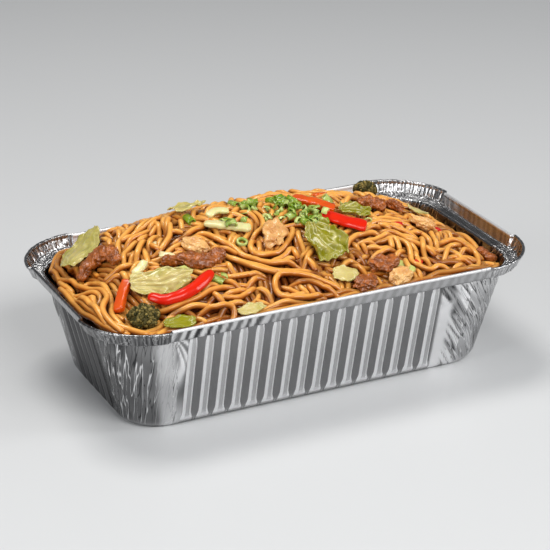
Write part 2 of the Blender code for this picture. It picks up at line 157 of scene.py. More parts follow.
def heap_height(x, y):
    """Height of the heap above the table at a place inside the tray."""
    share = min(abs(x) / (WALL_TOP_LENGTH / 2), 1.0)
    crown = HEAP_CROWN * (1 - share ** (LEFT_FULLNESS if x < 0 else RIGHT_FULLNESS))
    if y < HEAP_RIDGE:
        across = 1 - ((HEAP_RIDGE - y) / (WALL_TOP_WIDTH / 2 + HEAP_RIDGE)) ** FRONT_CURVE
    else:
        across = 1 - ((y - HEAP_RIDGE) / (WALL_TOP_WIDTH / 2 - HEAP_RIDGE)) ** BACK_CURVE
    z = HEAP_EDGE + crown * max(across, 0.0)
    if x > RIGHT_SLUMP_START:
        z -= RIGHT_SLUMP * ((x - RIGHT_SLUMP_START) / (WALL_TOP_LENGTH / 2 - RIGHT_SLUMP_START)) ** 2
    lumps = noise_at(x / WIDE_LUMP[0], y / WIDE_LUMP[1], 3.0)
    lumps += 0.5 * noise_at(x / SMALL_LUMP[0], y / SMALL_LUMP[1], 8.0)
    return z + HEAP_LUMPS * lumps


def heap_point(x, y, lift=0.0):
    """A point over the heap."""
    return Vector((x, y, heap_height(x, y) + lift))


def heap_normal(x, y):
    """Upward normal of the heap, taken over a wide patch."""
    reach = FLAT_PATCH
    slope_x = (heap_height(x + reach, y) - heap_height(x - reach, y)) / (2 * reach)
    slope_y = (heap_height(x, y + reach) - heap_height(x, y - reach)) / (2 * reach)
    return Vector((-slope_x, -slope_y, 1.0)).normalized()


def heap_frame(x, y, yaw, lift, roll=0.0):
    """Frame on the heap: local X runs at the yaw angle, local Z is the heap's normal."""
    up = heap_normal(x, y)
    ahead = Vector((math.cos(math.radians(yaw)), math.sin(math.radians(yaw)), 0.0))
    side = up.cross(ahead).normalized()
    turn = Matrix((side.cross(up), side, up)).transposed().to_4x4()
    return Matrix.Translation(heap_point(x, y, lift)) @ turn @ Matrix.Rotation(math.radians(roll), 4, "X")


# ---- meshes

def link(obj):
    """Put a new object in the scene."""
    bpy.context.scene.collection.objects.link(obj)
    return obj


def read(data, field, width=1):
    """A field of every element, as an array of numbers or of rows."""
    values = np.empty(len(data) * width)
    data.foreach_get(field, values)
    return values.reshape(-1, width) if width > 1 else values


def write_attribute(mesh, label, values):
    """Give every point of a mesh a number or a vector."""
    values = np.asarray(values, dtype=np.float32)
    kind, field = (("FLOAT", "value"), ("FLOAT_VECTOR", "vector"))[values.ndim - 1]
    mesh.attributes.new(label, kind, "POINT").data.foreach_set(field, values.ravel())


def make_piece(name, points, faces=(), attributes=None, edges=()):
    """Smooth object from points in millimetres, with attributes on its points."""
    mesh = bpy.data.meshes.new(name)
    mesh.from_pydata((np.asarray(points, dtype=float) * MM).tolist(), edges, faces)
    for label, values in (attributes or {}).items():
        write_attribute(mesh, label, values)
    mesh.polygons.foreach_set("use_smooth", [True] * len(mesh.polygons))
    mesh.update()
    return link(bpy.data.objects.new(name, mesh))


def lattice_faces(rows, columns, wrap=True):
    """Quads between rows of equally many points."""
    faces = []
    for low in range(0, (rows - 1) * columns, columns):
        for i in range(columns if wrap else columns - 1):
            j = (i + 1) % columns
            faces.append((low + i, low + j, low + columns + j, low + columns + i))
    return faces


def capped_piece(name, rows, attributes=None):
    """Closed piece through rows of points, with a flat face at either end."""
    count = len(rows[0])
    points = [point for row in rows for point in row]
    faces = lattice_faces(len(rows), count)
    faces += [tuple(range(count))[::-1], tuple(range(len(points) - count, len(points)))]
    return turn_out(make_piece(name, points, faces, attributes))


def turn_out(obj):
    """Point every face outwards."""
    bm = bmesh.new()
    bm.from_mesh(obj.data)
    bmesh.ops.recalc_face_normals(bm, faces=bm.faces)
    bm.to_mesh(obj.data)
    bm.free()
    return obj


def bake_modifiers(obj):
    """Replace an object's mesh by its evaluated one and drop the modifiers."""
    bpy.context.view_layer.update()
    graph = bpy.context.evaluated_depsgraph_get()
    mesh = bpy.data.meshes.new_from_object(obj.evaluated_get(graph), depsgraph=graph)
    obj.modifiers.clear()
    old, obj.data = obj.data, mesh
    mesh.name = obj.name
    bpy.data.meshes.remove(old)


def thicken(obj, thickness):
    """Give a sheet its thickness."""
    wall = obj.modifiers.new("wall", "SOLIDIFY")
    wall.thickness = thickness * MM
    wall.offset = 0.0
    bake_modifiers(obj)


def grow(obj, tree, **values):
    """Run a Geometry Nodes tree on an object, with its inputs set by name, and bake the result."""
    grower = obj.modifiers.new("shape", "NODES")
    grower.node_group = tree
    for item in tree.interface.items_tree:
        label = item.name.replace(" ", "_")
        if item.item_type == "SOCKET" and item.in_out == "INPUT" and label in values:
            grower[item.identifier] = values[label]
    bake_modifiers(obj)


def lump_piece(label, place, sizes, swell, levels, square=1.0):
    """Ball stretched to three sizes, boxier with square below 1, and swollen by a function."""
    bm = bmesh.new()
    bmesh.ops.create_icosphere(bm, subdivisions=levels, radius=1.0)
    for vert in bm.verts:
        base = vert.co.copy()
        out = swell(base)
        boxy = Vector([math.copysign(abs(c) ** square, c) for c in base])
        vert.co = (place @ Vector([c * out * size / 2 for c, size in zip(boxy, sizes)])) * MM
    mesh = bpy.data.meshes.new(label)
    bm.to_mesh(mesh)
    bm.free()
    mesh.polygons.foreach_set("use_smooth", [True] * len(mesh.polygons))
    return link(bpy.data.objects.new(label, mesh))


def finish_piece(obj, mat, slot, *nodes):
    """Give a piece its material and let it stand for its solids; the slot is not used."""
    obj.data.materials.clear()
    obj.data.materials.append(mat)
    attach(obj, BODY)
    if nodes:
        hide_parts(*nodes)
    return obj


# ---- node trees and materials

def node_tree(name, kind, inputs, outputs, nodes, wires):
    """Node group made from tables.

    Inputs and outputs are (label, kind of socket, default).  Nodes are (label, type, values),
    where a name in small letters is a setting of the node and any other an input.  Wires
    are lines of "node.output > node.input", with the group's own ends named in and out.
    A type is short for one of the tree's own kind, unless it says Node.
    """
    tree = bpy.data.node_groups.get(name)
    if tree:
        return tree
    tree = bpy.data.node_groups.new(name, kind + "NodeTree")
    for side, sockets in (("INPUT", inputs), ("OUTPUT", outputs)):
        for label, socket_kind, *default in sockets:
            socket_type = "NodeSocket" + socket_kind
            socket = tree.interface.new_socket(name=label, in_out=side, socket_type=socket_type)
            if default:
                socket.default_value = default[0]
    made = {"in": tree.nodes.new("NodeGroupInput"), "out": tree.nodes.new("NodeGroupOutput")}
    for label, node_kind, *values in nodes:
        node = made[label] = tree.nodes.new(node_kind if "Node" in node_kind else f"{kind}Node{node_kind}")
        for key, value in (values[0] if values else {}).items():
            if isinstance(key, str) and key.islower():
                setattr(node, key, value)
            else:
                node.inputs[key].default_value = value
    for wire in wires.strip().splitlines():
        ends = [end.strip().split(".") for end in wire.split(">")]
        (start, leaves), (end, enters) = [(node, int(s) if s.isdigit() else s) for node, s in ends]
        tree.links.new(made[start].outputs[leaves], made[end].inputs[enters])
    return tree


def shape_tree(name, inputs, nodes, wires, result):
    """Geometry Nodes tree whose result is made real and given its material."""
    return node_tree(
        name, "Geometry", (("Geometry", "Geometry"), *inputs, ("Material", "Material")),
        (("Geometry", "Geometry"),), (*nodes, ("realize", "RealizeInstances"), ("paint", "SetMaterial")),
        wires + f"""
        {result} > realize.Geometry
        realize.Geometry > paint.Geometry
        in.Material > paint.Material
        paint.Geometry > out.Geometry""")


def mottle_group():
    """Uneven mix of two colours, at two sizes of patch."""
    return node_tree(
        "food mottle", "Shader",
        (("Colour A", "Color", (0.8, 0.8, 0.8, 1.0)), ("Colour B", "Color", (0.2, 0.2, 0.2, 1.0)),
         ("Shift", "Float", 0.0), ("Patch Scale", "Float", 200.0), ("Contrast", "Float", 1.0)),
        (("Colour", "Color"),),
        (("place", "TexCoord"), ("patches", "TexNoise", {"Detail": 5.0, "Roughness": 0.6}),
         ("centred", "Math", {"operation": "SUBTRACT", 1: 0.5}),
         ("spread", "Math", {"operation": "MULTIPLY_ADD"}), ("clamp", "Clamp"),
         ("mix", "Mix", {"data_type": "RGBA"})),
        """place.Object > patches.Vector
        in.Patch Scale > patches.Scale
        patches.Fac > centred.0
        centred.0 > spread.0
        in.Contrast > spread.1
        in.Shift > spread.2
        spread.0 > clamp.Value
        clamp.0 > mix.Factor
        in.Colour A > mix.A
        in.Colour B > mix.B
        mix.Result > out.Colour""")


def surface_group():
    """Bumpy normal from fine noise."""
    return node_tree(
        "food surface", "Shader", (("Grain Scale", "Float", 600.0), ("Depth", "Float", 0.3)),
        (("Normal", "Vector"),),
        (("place", "TexCoord"), ("grain", "TexNoise", {"Detail": 4.0}),
         ("bump", "Bump", {"Distance": 0.3 * MM})),
        """place.Object > grain.Vector
        in.Grain Scale > grain.Scale
        in.Depth > bump.Strength
        grain.Fac > bump.Height
        bump.Normal > out.Normal""")


def principled(name, roughness, metallic=0.0, coat=0.0, coat_roughness=0.1, specular=0.5,
               subsurface=0.0, scatter=(1.0, 0.4, 0.2)):
    """A Principled material with its plain values set on the shader."""
    mat = bpy.data.materials.new(name)
    mat.use_nodes = True
    shader = mat.node_tree.nodes["Principled BSDF"]
    values = {"Roughness": roughness, "Metallic": metallic, "Coat Weight": coat,
              "Coat Roughness": coat_roughness, "Specular IOR Level": specular}
    if subsurface:
        values.update({"Subsurface Weight": subsurface, "Subsurface Radius": scatter,
                       "Subsurface Scale": 1.5 * MM})
    for label, value in values.items():
        shader.inputs[label].default_value = value
    return mat, shader


def fill_socket(mat, socket, value):
    """Link a socket to another one, or set it to a number or a plain colour."""
    if isinstance(value, bpy.types.NodeSocket):
        mat.node_tree.links.new(value, socket)
    else:
        socket.default_value = (*value[:3], 1.0) if hasattr(value, "__len__") else value


def attribute_value(mat, label):
    """Value of a float attribute of the mesh."""
    node = mat.node_tree.nodes.new("ShaderNodeAttribute")
    node.attribute_name = label
    return node.outputs["Fac"]


def mixed(mat, factor, low, high, blend="MIX"):
    """Mix of two colours, each a socket or a plain colour."""
    node = mat.node_tree.nodes.new("ShaderNodeMix")
    node.data_type = "RGBA"
    node.blend_type = blend
    for label, value in (("Factor", factor), ("A", low), ("B", high)):
        fill_socket(mat, node.inputs[label], value)
    return node.outputs["Result"]


def placed_group(mat, tree, **values):
    """Put a node group in a material with its own values."""
    node = mat.node_tree.nodes.new("ShaderNodeGroup")
    node.node_tree = tree
    for label, value in values.items():
        fill_socket(mat, node.inputs[label.replace("_", " ")], value)
    return node.outputs


def mottled(mat, low, high, shift, patch, contrast):
    """Uneven mix of two colours, as a socket."""
    return placed_group(mat, mottle_group(), Colour_A=low, Colour_B=high, Shift=shift,
                        Patch_Scale=patch, Contrast=contrast)["Colour"]


def dress(mat, shader, colour, grain, depth):
    """Link a colour and a fine grain to the shader."""
    fill_socket(mat, shader.inputs["Base Color"], colour)
    surface = placed_group(mat, surface_group(), Grain_Scale=grain, Depth=depth)
    fill_socket(mat, shader.inputs["Normal"], surface["Normal"])
    return mat


def food_material(name, colour, shade, patch=200.0, contrast=1.4, shift=0.4, grain=700.0,
                  depth=0.3, mask=None, mask_colour=None, **looks):
    """Mottled, slightly bumpy food; a mesh attribute can blend in a third colour."""
    looks.setdefault("specular", 0.28)
    mat, shader = principled(name, **looks)
    result = mottled(mat, colour, shade, shift, patch, contrast)
    if mask:
        result = mixed(mat, attribute_value(mat, mask), result, mask_colour)
    return dress(mat, shader, result, grain, depth)


# ---- settings

def colour_setting(name, description, *default):
    """A colour that a user can change."""
    return FloatVectorProperty(name=name, description=description, subtype="COLOR", size=3,
                               min=0.0, max=1.0, default=default)


def size_setting(name, description, default, least=0.0):
    """A length in millimetres that a user can change."""
    return FloatProperty(name=name, description=description, default=default, min=least)


class FoilSettings(bpy.types.PropertyGroup):
    """Sizes and colour of the foil."""
    thickness: size_setting("Thickness", "Thickness of the sheet in millimetres", 0.22, 0.05)
    wrinkles: size_setting("Wrinkles", "Depth of the corner wrinkles in millimetres", 0.6)
    # The foil's colour runs from colour, its darkest painted shade, to highlight, its painted highlight.
    colour: colour_setting("Colour", "Colour of the dullest metal", 0.045, 0.045, 0.047)
    bright: colour_setting("Bright", "Colour of the highlighted metal", 0.93, 0.93, 0.94)


class NoodleSettings(bpy.types.PropertyGroup):
    """Sizes and colours of the noodles."""
    radius: size_setting("Radius", "Radius of a strand in millimetres", 1.4, 0.5)
    sink: size_setting("Sink", "How far a strand presses into those below", 0.5)
    sides: IntProperty(name="Sides", description="Sides of a strand's section", default=11, min=5)
    seed: IntProperty(name="Seed", description="Choice of the hidden strands", default=4)
    colour: colour_setting("Colour", "Colour of a noodle's top", 0.55, 0.165, 0.010)
    # Pale is painted light on the tops of the strands.
    pale: colour_setting("Pale", "Colour of a noodle's crest", 0.88, 0.46, 0.105)
    # The sauce colour is both the sauce's own colour and the painted shade laid between and under the strands.
    sauce: colour_setting("Sauce", "Colour of the sauce between the strands", 0.13, 0.017, 0.0008)


class ToppingSettings(bpy.types.PropertyGroup):
    """Colours of the toppings."""
    cabbage: colour_setting("Cabbage", "Pale part of the cabbage", 0.60, 0.50, 0.20)
    cabbage_green: colour_setting("Cabbage green", "Green part of the cabbage", 0.25, 0.235, 0.003)
    beef: colour_setting("Beef", "Colour of the beef", 0.22, 0.056, 0.007)
    chicken: colour_setting("Chicken", "Colour of the chicken", 0.78, 0.45, 0.165)
    pepper: colour_setting("Pepper", "Skin of the red pepper", 0.62, 0.010, 0.001)
    carrot: colour_setting("Carrot", "Colour of the carrot", 0.66, 0.085, 0.002)
    broccoli: colour_setting("Broccoli", "Buds of the broccoli", 0.022, 0.022, 0.002)
    onion: colour_setting("Spring onion", "Skin of the spring onion", 0.11, 0.205, 0.004)


class StageSettings(bpy.types.PropertyGroup):
    """Camera and light."""
    azimuth: FloatProperty(name="Azimuth", description="Side the camera stands on",
                           subtype="ANGLE", default=math.radians(-25.96))
    elevation: FloatProperty(name="Elevation", description="Height of the camera as an angle",
                             subtype="ANGLE", default=math.radians(23.29))
    distance: FloatProperty(name="Distance", description="Camera to target", unit="LENGTH",
                            default=0.9676)
    target: FloatVectorProperty(name="Target", description="What the camera looks at",
                                unit="LENGTH", default=(0.0127, 0.0274, 0.03))
    floor: colour_setting("Floor", "Colour of the floor", 0.60, 0.61, 0.62)


# ---- foil tray

CORNER_STATIONS, PANEL_STATIONS, WALL_LEVELS = 72, 24, 35
PANEL_WIDTH = 14.0          # plain wall between the last rib and the corner
CORNER_RUN = 36.0
CORNER_SLANT = (0.75, 0.2, -0.2, -0.22)
FAN_PLEATS = ((8.0, 5.0), (30.0, 5.5), (50.0, 6.5))
PLEATS, TICK_PITCH = 25, 4.7
# Least painted light left on the tray's inside, and the shares of painted light the wall and the rim keep there:
# painted shade inside the tray.
INNER_PAINTED_LIGHT = 0.16
WALL_INSIDE_PAINTED_LIGHT, RIM_INSIDE_PAINTED_LIGHT = 0.3, 0.95
FRONT, BACK, LEFT = 0, 2, 3


def side_stations(count, centre):
    """Stations of a side: (place, middle of its rib, share of rib depth, share of the way to the end)."""
    half = RIB_WIDTH / 2
    section = ((-half - 0.3, 0.0), (-half, 0.08), (-half + RIB_SLOPE * 0.4, 0.6),
               (-half + RIB_SLOPE * 0.75, 0.96), (-half + RIB_SLOPE, 1.0), (0.0, 1.0))
    section += tuple((-off, out) for off, out in reversed(section[:-1]))
    ribs = []
    for index in range(count):
        middle = centre + (index - (count - 1) / 2) * RIB_PITCH
        ribs += [(middle + off, middle, out, 0.0) for off, out in section]
        if index < count - 1:
            spare = RIB_PITCH - RIB_WIDTH - 0.6
            ribs += [(middle + half + 0.3 + spare * t, None, 0.0, 0.0) for t in (0.25, 0.5, 0.75)]
    before = [(ribs[0][0], None, 0.0, -(1 - i / PANEL_STATIONS)) for i in range(PANEL_STATIONS)]
    after = [(ribs[-1][0], None, 0.0, (i + 1) / PANEL_STATIONS) for i in range(PANEL_STATIONS)]
    return before + ribs + after


def tray_stations():
    """Stations round the tray, anticlockwise from the left end of the front side."""
    front, short = side_stations(LONG_RIBS, LONG_RIB_CENTRE), side_stations(SHORT_RIBS, 0.0)
    back = [(-p, None if m is None else -m, out, -end) for p, m, out, end in reversed(front)]
    stations = []
    for side, marks in enumerate((front, short, back, short)):
        stations += [("side", side, mark) for mark in marks]
        stations += [("corner", side, (i + 0.5) / CORNER_STATIONS) for i in range(CORNER_STATIONS)]
    return stations


def rib_fade(z):
    """Share of the rib's depth, and of its width, at a height: the foot flares out and fades."""
    depth = smoothstep((z - 1.2) / (RIB_FOOT - 1.2)) * smoothstep((47.8 - z) / (47.8 - RIB_TOP))
    width = 1 + 0.55 * smoothstep((RIB_FOOT + 1.5 - z) / 5.0) - 0.25 * smoothstep((z - 43.0) / 4.0)
    return depth, width


def crinkle(u, v, seed):
    """Sharp-edged creases, about 1 deep."""
    return 1 - 2.6 * abs(noise_at(u, v, seed))


def off_ends(mark, share):
    """Ramp from 0 to 1 over a share of a corner at either end of it."""
    return smoothstep(mark / share) * smoothstep((1 - mark) / share)


def panel_place(mark, z):
    """Distance from the corner along a plain panel, and below the rim's notch."""
    return (1 - abs(mark[3])) * PANEL_WIDTH, LEDGE_HEIGHT - 0.5 - z


def fan(mark, z):
    """Pleats that spread from the notch over the panel at the front's left end; they stand out and carry a
    painted highlight.
    """
    along, below = panel_place(mark, z)
    reach = math.hypot(along, below)
    angle = math.degrees(math.atan2(below, along + 0.01)) - 0.9 * along
    pleats = sum(math.exp(-((angle - at) / wide) ** 2) for at, wide in FAN_PLEATS)
    return pleats * smoothstep(reach / 2.5) * smoothstep((24 - reach) / 6)


def bulge(mark, z):
    """Soft swelling under the fan of pleats."""
    along, below = panel_place(mark, z)
    return math.exp(-((along - 7.5) / 5.5) ** 2 - ((below - 24.0 + 0.5 * along) / 6.5) ** 2)


def folds_right(mark, z):
    """Slanting folds over the panel at the front's right end."""
    along, below = panel_place(mark, z)
    top = smoothstep((14 - below) / 5) * smoothstep((along - 3.5) / 3)
    folds = crinkle((below * 0.75 + along * 1.1) / 3.6, below / 30, 71.0)
    return max(top, smoothstep((9.0 - along) / 4)) * max(0.0, folds) ** 2


def wall_relief(kind, side, mark, x, y, z, wrinkles):
    """How far the wall stands out from its plain shape."""
    if kind == "side":
        _, _, out, end = mark
        relief = RIB_DEPTH * out * rib_fade(z)[0] + 0.10 * noise_at(x / 15, z / 20 + y / 15, 2.0)
        if end and side == FRONT:
            if end < 0:
                return relief + wrinkles * (0.8 * fan(mark, z) + 1.3 * bulge(mark, z))
            return relief + 0.9 * wrinkles * (0.5 - folds_right(mark, z)) * smoothstep((z - 4) / 8)
        if end:
            relief += 0.7 * wrinkles * abs(end) * crinkle(x / 9 + z / 16, y / 9 + z / 26, 6.0)
        return relief
    run = mark * CORNER_RUN
    along = run + CORNER_SLANT[side] * (z - LEDGE_HEIGHT)
    folds = 0.8 * crinkle(along / 4.4, z / 30, 11.0 + side)
    folds += 0.35 * crinkle(along / 1.9, z / 14, 17.0 + side)
    bend = 0.9 * noise_at(run / 9, z / 16, 23.0 + side)
    relief = wrinkles * (0.5 + 0.5 * z / LEDGE_HEIGHT) * (0.6 + folds + bend)
    if side == LEFT:
        relief *= 1 - 0.9 * smoothstep((mark - 0.66) / 0.16)
    return max(relief, -0.15) * (0.35 + 0.65 * off_ends(mark, 0.12))


def pleat_wave(side, mark, level):
    """Uneven pleats round a corner of the rim, about -1 to 1."""
    warp = 1.6 * noise_at(mark * 7, side, 31.0) + 0.12 * level
    uneven = 0.75 + 0.7 * noise_at(mark * 16, side, level)
    return math.sin(TURN * (mark * PLEATS + warp)) * uneven * off_ends(mark, 0.05)


def tick_wave(side, along, level):
    """Slanting marks pressed along the rim's band, stronger towards the left, about -1 to 1."""
    strength = 0.18 + 0.82 * smoothstep((-12 - along) / 40) if side == FRONT else 0.3
    strength *= 0.8 + 0.5 * noise_at(along / 14, side, 37.0)
    warp = 0.5 * noise_at(along / 9, side, 33.0)
    wave = math.sin(TURN * (along / TICK_PITCH - 0.3 * level + warp))
    return strength * max(-1.0, min(1.0, 2.2 * wave))


def wall_painted_light(kind, side, mark, x, y, z):
    """Painted light in the metal's colour: painted highlights on the ribs' flanks and bends and at the foot,
    painted shade between the ribs.
    """
    foot = smoothstep((4.5 - z) / 3.0)
    # Corners: a painted level of light, darkest at the front of the left corner, with uneven patches and a
    # painted highlight at the foot.
    if kind == "corner":
        level = {0: 0.5, LEFT: 0.07 + 0.16 * mark + 0.45 * smoothstep((mark - 0.74) / 0.14)}.get(side, 0.25)
        patch = noise_at(x / 9, y / 9, z / 11)
        return unit(level + (0.12 if side == LEFT else 0.2) * patch + 0.2 * foot)
    _, middle, out, end = mark
    plain, dim = 0.2, 1.0
    # The left wall gets painted shade, deepest at its front and lighter towards the back.
    if side == LEFT:
        rear = 0.7 * smoothstep((y - 14) / 20)
        plain, dim = -0.02 + 0.22 * rear, 0.09 + 0.91 * rear
    # Front end panels: painted highlights over the fan, the bulge and by the notch on the left; on the right a
    # painted highlight broken by painted shade in the folds.
    if end and side == FRONT:
        along, _ = panel_place(mark, z)
        if end < 0:
            panel = 0.14 + 0.5 * smoothstep((20 - z) / 16) * smoothstep(along / 6)
            panel += 0.52 * (1 - smoothstep(along / 7))
            return min(panel + 0.95 * fan(mark, z) + 0.8 * bulge(mark, z), 1.0)
        white = smoothstep((PANEL_WIDTH - along) / 2.0)
        return max(white * (0.95 - 1.1 * folds_right(mark, z)), 0.02)
    # Other end panels: an uneven painted level of light.
    if end:
        uneven = 0.5 + 0.5 * noise_at(x / 7, y / 7, z / 14)
        return plain + abs(end) * (0.2 + 0.3 * uneven) * dim
    if middle is None or out == 0.0:
        return plain + 0.3 * foot * dim
    # Rib flanks get a painted highlight; rib faces get it only near the foot.
    flank = 1.0 if out < 0.99 else 0.4 + 0.55 * smoothstep((7.0 - z) / 4.0)
    bright = max(smoothstep(rib_fade(z)[0] * 2.5) * flank, 0.3 * foot)
    return max(plain + (1 - plain) * bright * dim, 0.0)


def station_point(station, length, width, radius, narrow=1.0):
    """Plan place and outward direction of a station on a loop of a given size."""
    kind, side, mark = station
    half_x, half_y = length / 2, width / 2
    if kind == "corner":
        sign_x, sign_y = ((1, -1), (1, 1), (-1, 1), (-1, -1))[side]
        angle = math.radians(-90 + 90 * side + 90 * mark)
        out = Vector((math.cos(angle), math.sin(angle)))
        return Vector((sign_x * (half_x - radius), sign_y * (half_y - radius))) + out * radius, out
    place, middle, _, end = mark
    if middle is not None:
        place = middle + (place - middle) * narrow
    if end:
        straight = (half_x if side % 2 == 0 else half_y) - radius
        place += (math.copysign(straight, end) - place) * abs(end)
    return ((Vector((place, -half_y)), Vector((0, -1))), (Vector((half_x, place)), Vector((1, 0))),
            (Vector((place, half_y)), Vector((0, 1))), (Vector((-half_x, -place)), Vector((-1, 0))))[side]


def station_runs(stations):
    """Distance round the tray of every station, at the top of the wall."""
    places = [station_point(station, WALL_TOP_LENGTH, WALL_TOP_WIDTH, LEDGE_CORNER)[0]
              for station in stations]
    steps = [(b - a).length for a, b in zip(places, places[1:])]
    return np.concatenate(([0.0], np.cumsum(steps)))


def rows_round(stations, profile, place_at):
    """Rows of points round the tray, one for each step of the profile, and their looks by name."""
    rows, looks = [], []
    runs = station_runs(stations)
    for step in profile:
        row = []
        for station, along in zip(stations, runs):
            point, look = place_at(step, station, along)
            row.append(point)
            looks.append(look)
        rows.append(row)
    return rows, dict(zip(("shine", "run", "level", "crease"), map(list, zip(*looks))))


def wall_rows(stations, wrinkles):
    """Rows of points of the base and wall, from the base up."""
    profile = [(share, 0.25, 0.0) for share in (0.25, 0.6, 0.9)]
    for step in range(5):
        angle = math.radians(90 * step / 5)
        profile.append((1.0, FOOT_RADIUS * (1 - math.cos(angle)), FOOT_RADIUS * (1 - math.sin(angle))))
    profile += [(1.0, FOOT_RADIUS + (LEDGE_HEIGHT - FOOT_RADIUS) * i / WALL_LEVELS, 0.0)
                for i in range(WALL_LEVELS + 1)]

    def place_at(step, station, along):
        share, z, inset = step
        kind, side, mark = station
        if share < 1.0:
            length, width, radius = [size * share for size in (
                BASE_LENGTH - 2 * FOOT_RADIUS, BASE_WIDTH - 2 * FOOT_RADIUS, BASE_CORNER - FOOT_RADIUS)]
        else:
            length, width, radius = wall_size(z)
            length, width, radius = length - 2 * inset, width - 2 * inset, radius - inset
        place, out = station_point(station, length, width, radius, rib_fade(z)[1])
        # Painted light for the metal's colour, written on each point.
        shine = wall_painted_light(*station, place.x, place.y, z)
        place += out * smoothstep((z - 0.4) / 4.0) * wall_relief(*station, place.x, place.y, z, wrinkles)
        if kind == "corner":
            slant = CORNER_SLANT[side]
            edge = 1 - 0.75 * smoothstep((mark - 0.72) / 0.12) if side == LEFT else 1.0
        else:
            slant = CORNER_SLANT[side if mark[3] > 0 else side - 1]
            edge = smoothstep((abs(mark[3]) - 0.35) / 0.65)
        # The crease amount sets the strength of the fine creases' painted lines and their slope.
        return (place.x, place.y, max(z, 0.25)), (
            shine, along + slant * (z - LEDGE_HEIGHT), z, edge * smoothstep(z / 6))

    return rows_round(stations, profile, place_at)


def rim_rows(stations):
    """Rows of points of the ledge (stage 0 to 1), the upright band (to 2) and the folded hem."""
    profile = [(RIM_LEAN + LEDGE_WIDTH, LEDGE_HEIGHT, 0.0)]
    profile += [(RIM_LEAN + LEDGE_WIDTH * (1 - t), LEDGE_HEIGHT - 0.15 * math.sin(math.pi * t), t)
                for t in (0.2, 0.4, 0.6, 0.8, 0.95)]
    top = TRAY_HEIGHT - HEM_RISE
    rise = top - 1.2 - LEDGE_HEIGHT
    profile += [(RIM_LEAN + (HEM_WIDTH - RIM_LEAN) * t, LEDGE_HEIGHT + 0.2 + rise * t, 1 + t)
                for t in (0.06, 0.25, 0.45, 0.65, 0.85, 1.0)]
    middle, reach = HEM_WIDTH / 2 + 0.1, 0.62
    for angle in (150, 105, 60, 15, -30, -75):
        a = math.radians(angle)
        profile.append((middle - reach * math.cos(a), top - 0.15 + reach * math.sin(a), 2.01))

    def place_at(step, station, along):
        inset, z, stage = step
        kind, side, mark = station
        place, out = station_point(station, RIM_LENGTH - 2 * inset, RIM_WIDTH - 2 * inset,
                                   max(RIM_CORNER - inset, 3.0))
        calm = kind == "corner" and side == LEFT
        share = min(stage, 1.0) * (0.15 if stage > 2.0 or calm else 1.0)
        height = z
        if kind == "corner":
            pleats = pleat_wave(side, mark, stage)
            stand = off_ends(mark, 0.035)
            relief = 0.5 * pleats * share + CORNER_FLARE * stand * min(stage, 2.0) / 2
            crest = stand * min(stage, 1.0) * (1 if stage < 1.5 else 0.5)
            height += (0.08 if calm else 0.4) * crest * crinkle(mark * 24, stage * 1.7, 51.0 + side)
            # Painted light on the corner pleats: lighter on their crests, darker in their hollows, and darker
            # overall at the left-front corner.
            bright = 0.12 + 0.2 * pleats if calm else 0.5 + 0.4 * pleats
            gathered = 1.0
        else:
            across = place.x if side % 2 == 0 else place.y
            ticks = tick_wave(side, across, stage)
            relief = (0.14 * ticks + 0.05 * noise_at(across / 6, side, 41.0)) * share
            height += 0.05 * noise_at(place.x / 9, place.y / 9, 47.0)
            # Painted light on the band: the back band near white as a painted reflection, the front's ticks
            # lighter where they stand out.
            bright = 0.95 if side == BACK else 0.40 + 0.42 * ticks
            gathered = smoothstep((abs(mark[3]) - 0.5) / 0.5)
        # The hem gets a painted highlight line, and the ledge one even painted level.
        if stage > 2.0:
            bright = 1.0 if kind == "side" and side != LEFT else 0.5 * (bright + 0.15)
        if stage < 1.0:
            bright = 0.35
        place += out * relief
        # The crease amount sets the strength of the fine creases' painted lines and their slope.
        crease = (0.35 + 0.65 * gathered) if stage < 1.0 else 0.35 * gathered
        return (place.x, place.y, height), (
            unit(bright), along * (2.2 if stage < 1.0 else 1.0), z + stage * LEDGE_WIDTH * 3, crease)

    return rows_round(stations, profile, place_at)


def crease_group():
    """Fine creases drawn out along the wall: lines of painted glint, lines of painted shade and the slope they
    give.
    """
    nodes = [("slope", "Bump", {"Distance": 2.2 * MM})]
    wires = ""
    for label, spread, stretch, thin, offset in (("Bright", 0.30, 0.035, 0.022, 0.0),
                                                 ("Dark", 0.36, 0.045, 0.028, 9.0)):
        nodes += [("X" + label, "Math", {"operation": "MULTIPLY", 1: spread}),
                  ("Y" + label, "Math", {"operation": "MULTIPLY", 1: stretch}),
                  ("place" + label, "CombineXYZ", {"Z": offset}),
                  ("texture" + label, "TexNoise", {"Scale": 1.0, "Detail": 2.0, "Roughness": 0.45}),
                  ("away" + label, "Math", {"operation": "SUBTRACT", 1: 0.5}),
                  ("size" + label, "Math", {"operation": "ABSOLUTE"}),
                  ("line" + label, "MapRange", {"From Max": thin, "To Min": 1.0, "To Max": 0.0}),
                  ("part" + label, "Math", {"operation": "MULTIPLY"})]
        wires += """in.Run > X*.0
            X*.0 > place*.X
            in.Level > Y*.0
            Y*.0 > place*.Y
            place*.Vector > texture*.Vector
            texture*.Fac > away*.0
            away*.0 > size*.0
            size*.0 > line*.Value
            line*.Result > part*.0
            in.Amount > part*.1
            part*.0 > out.*
            """.replace("*", label)
    return node_tree(
        "foil creases", "Shader", (("Run", "Float", 0.0), ("Level", "Float", 0.0), ("Amount", "Float", 0.0)),
        (("Bright", "Float"), ("Dark", "Float"), ("Normal", "Vector")), nodes,
        wires + """in.Amount > slope.Strength
        sizeBright.0 > slope.Height
        slope.Normal > out.Normal""")


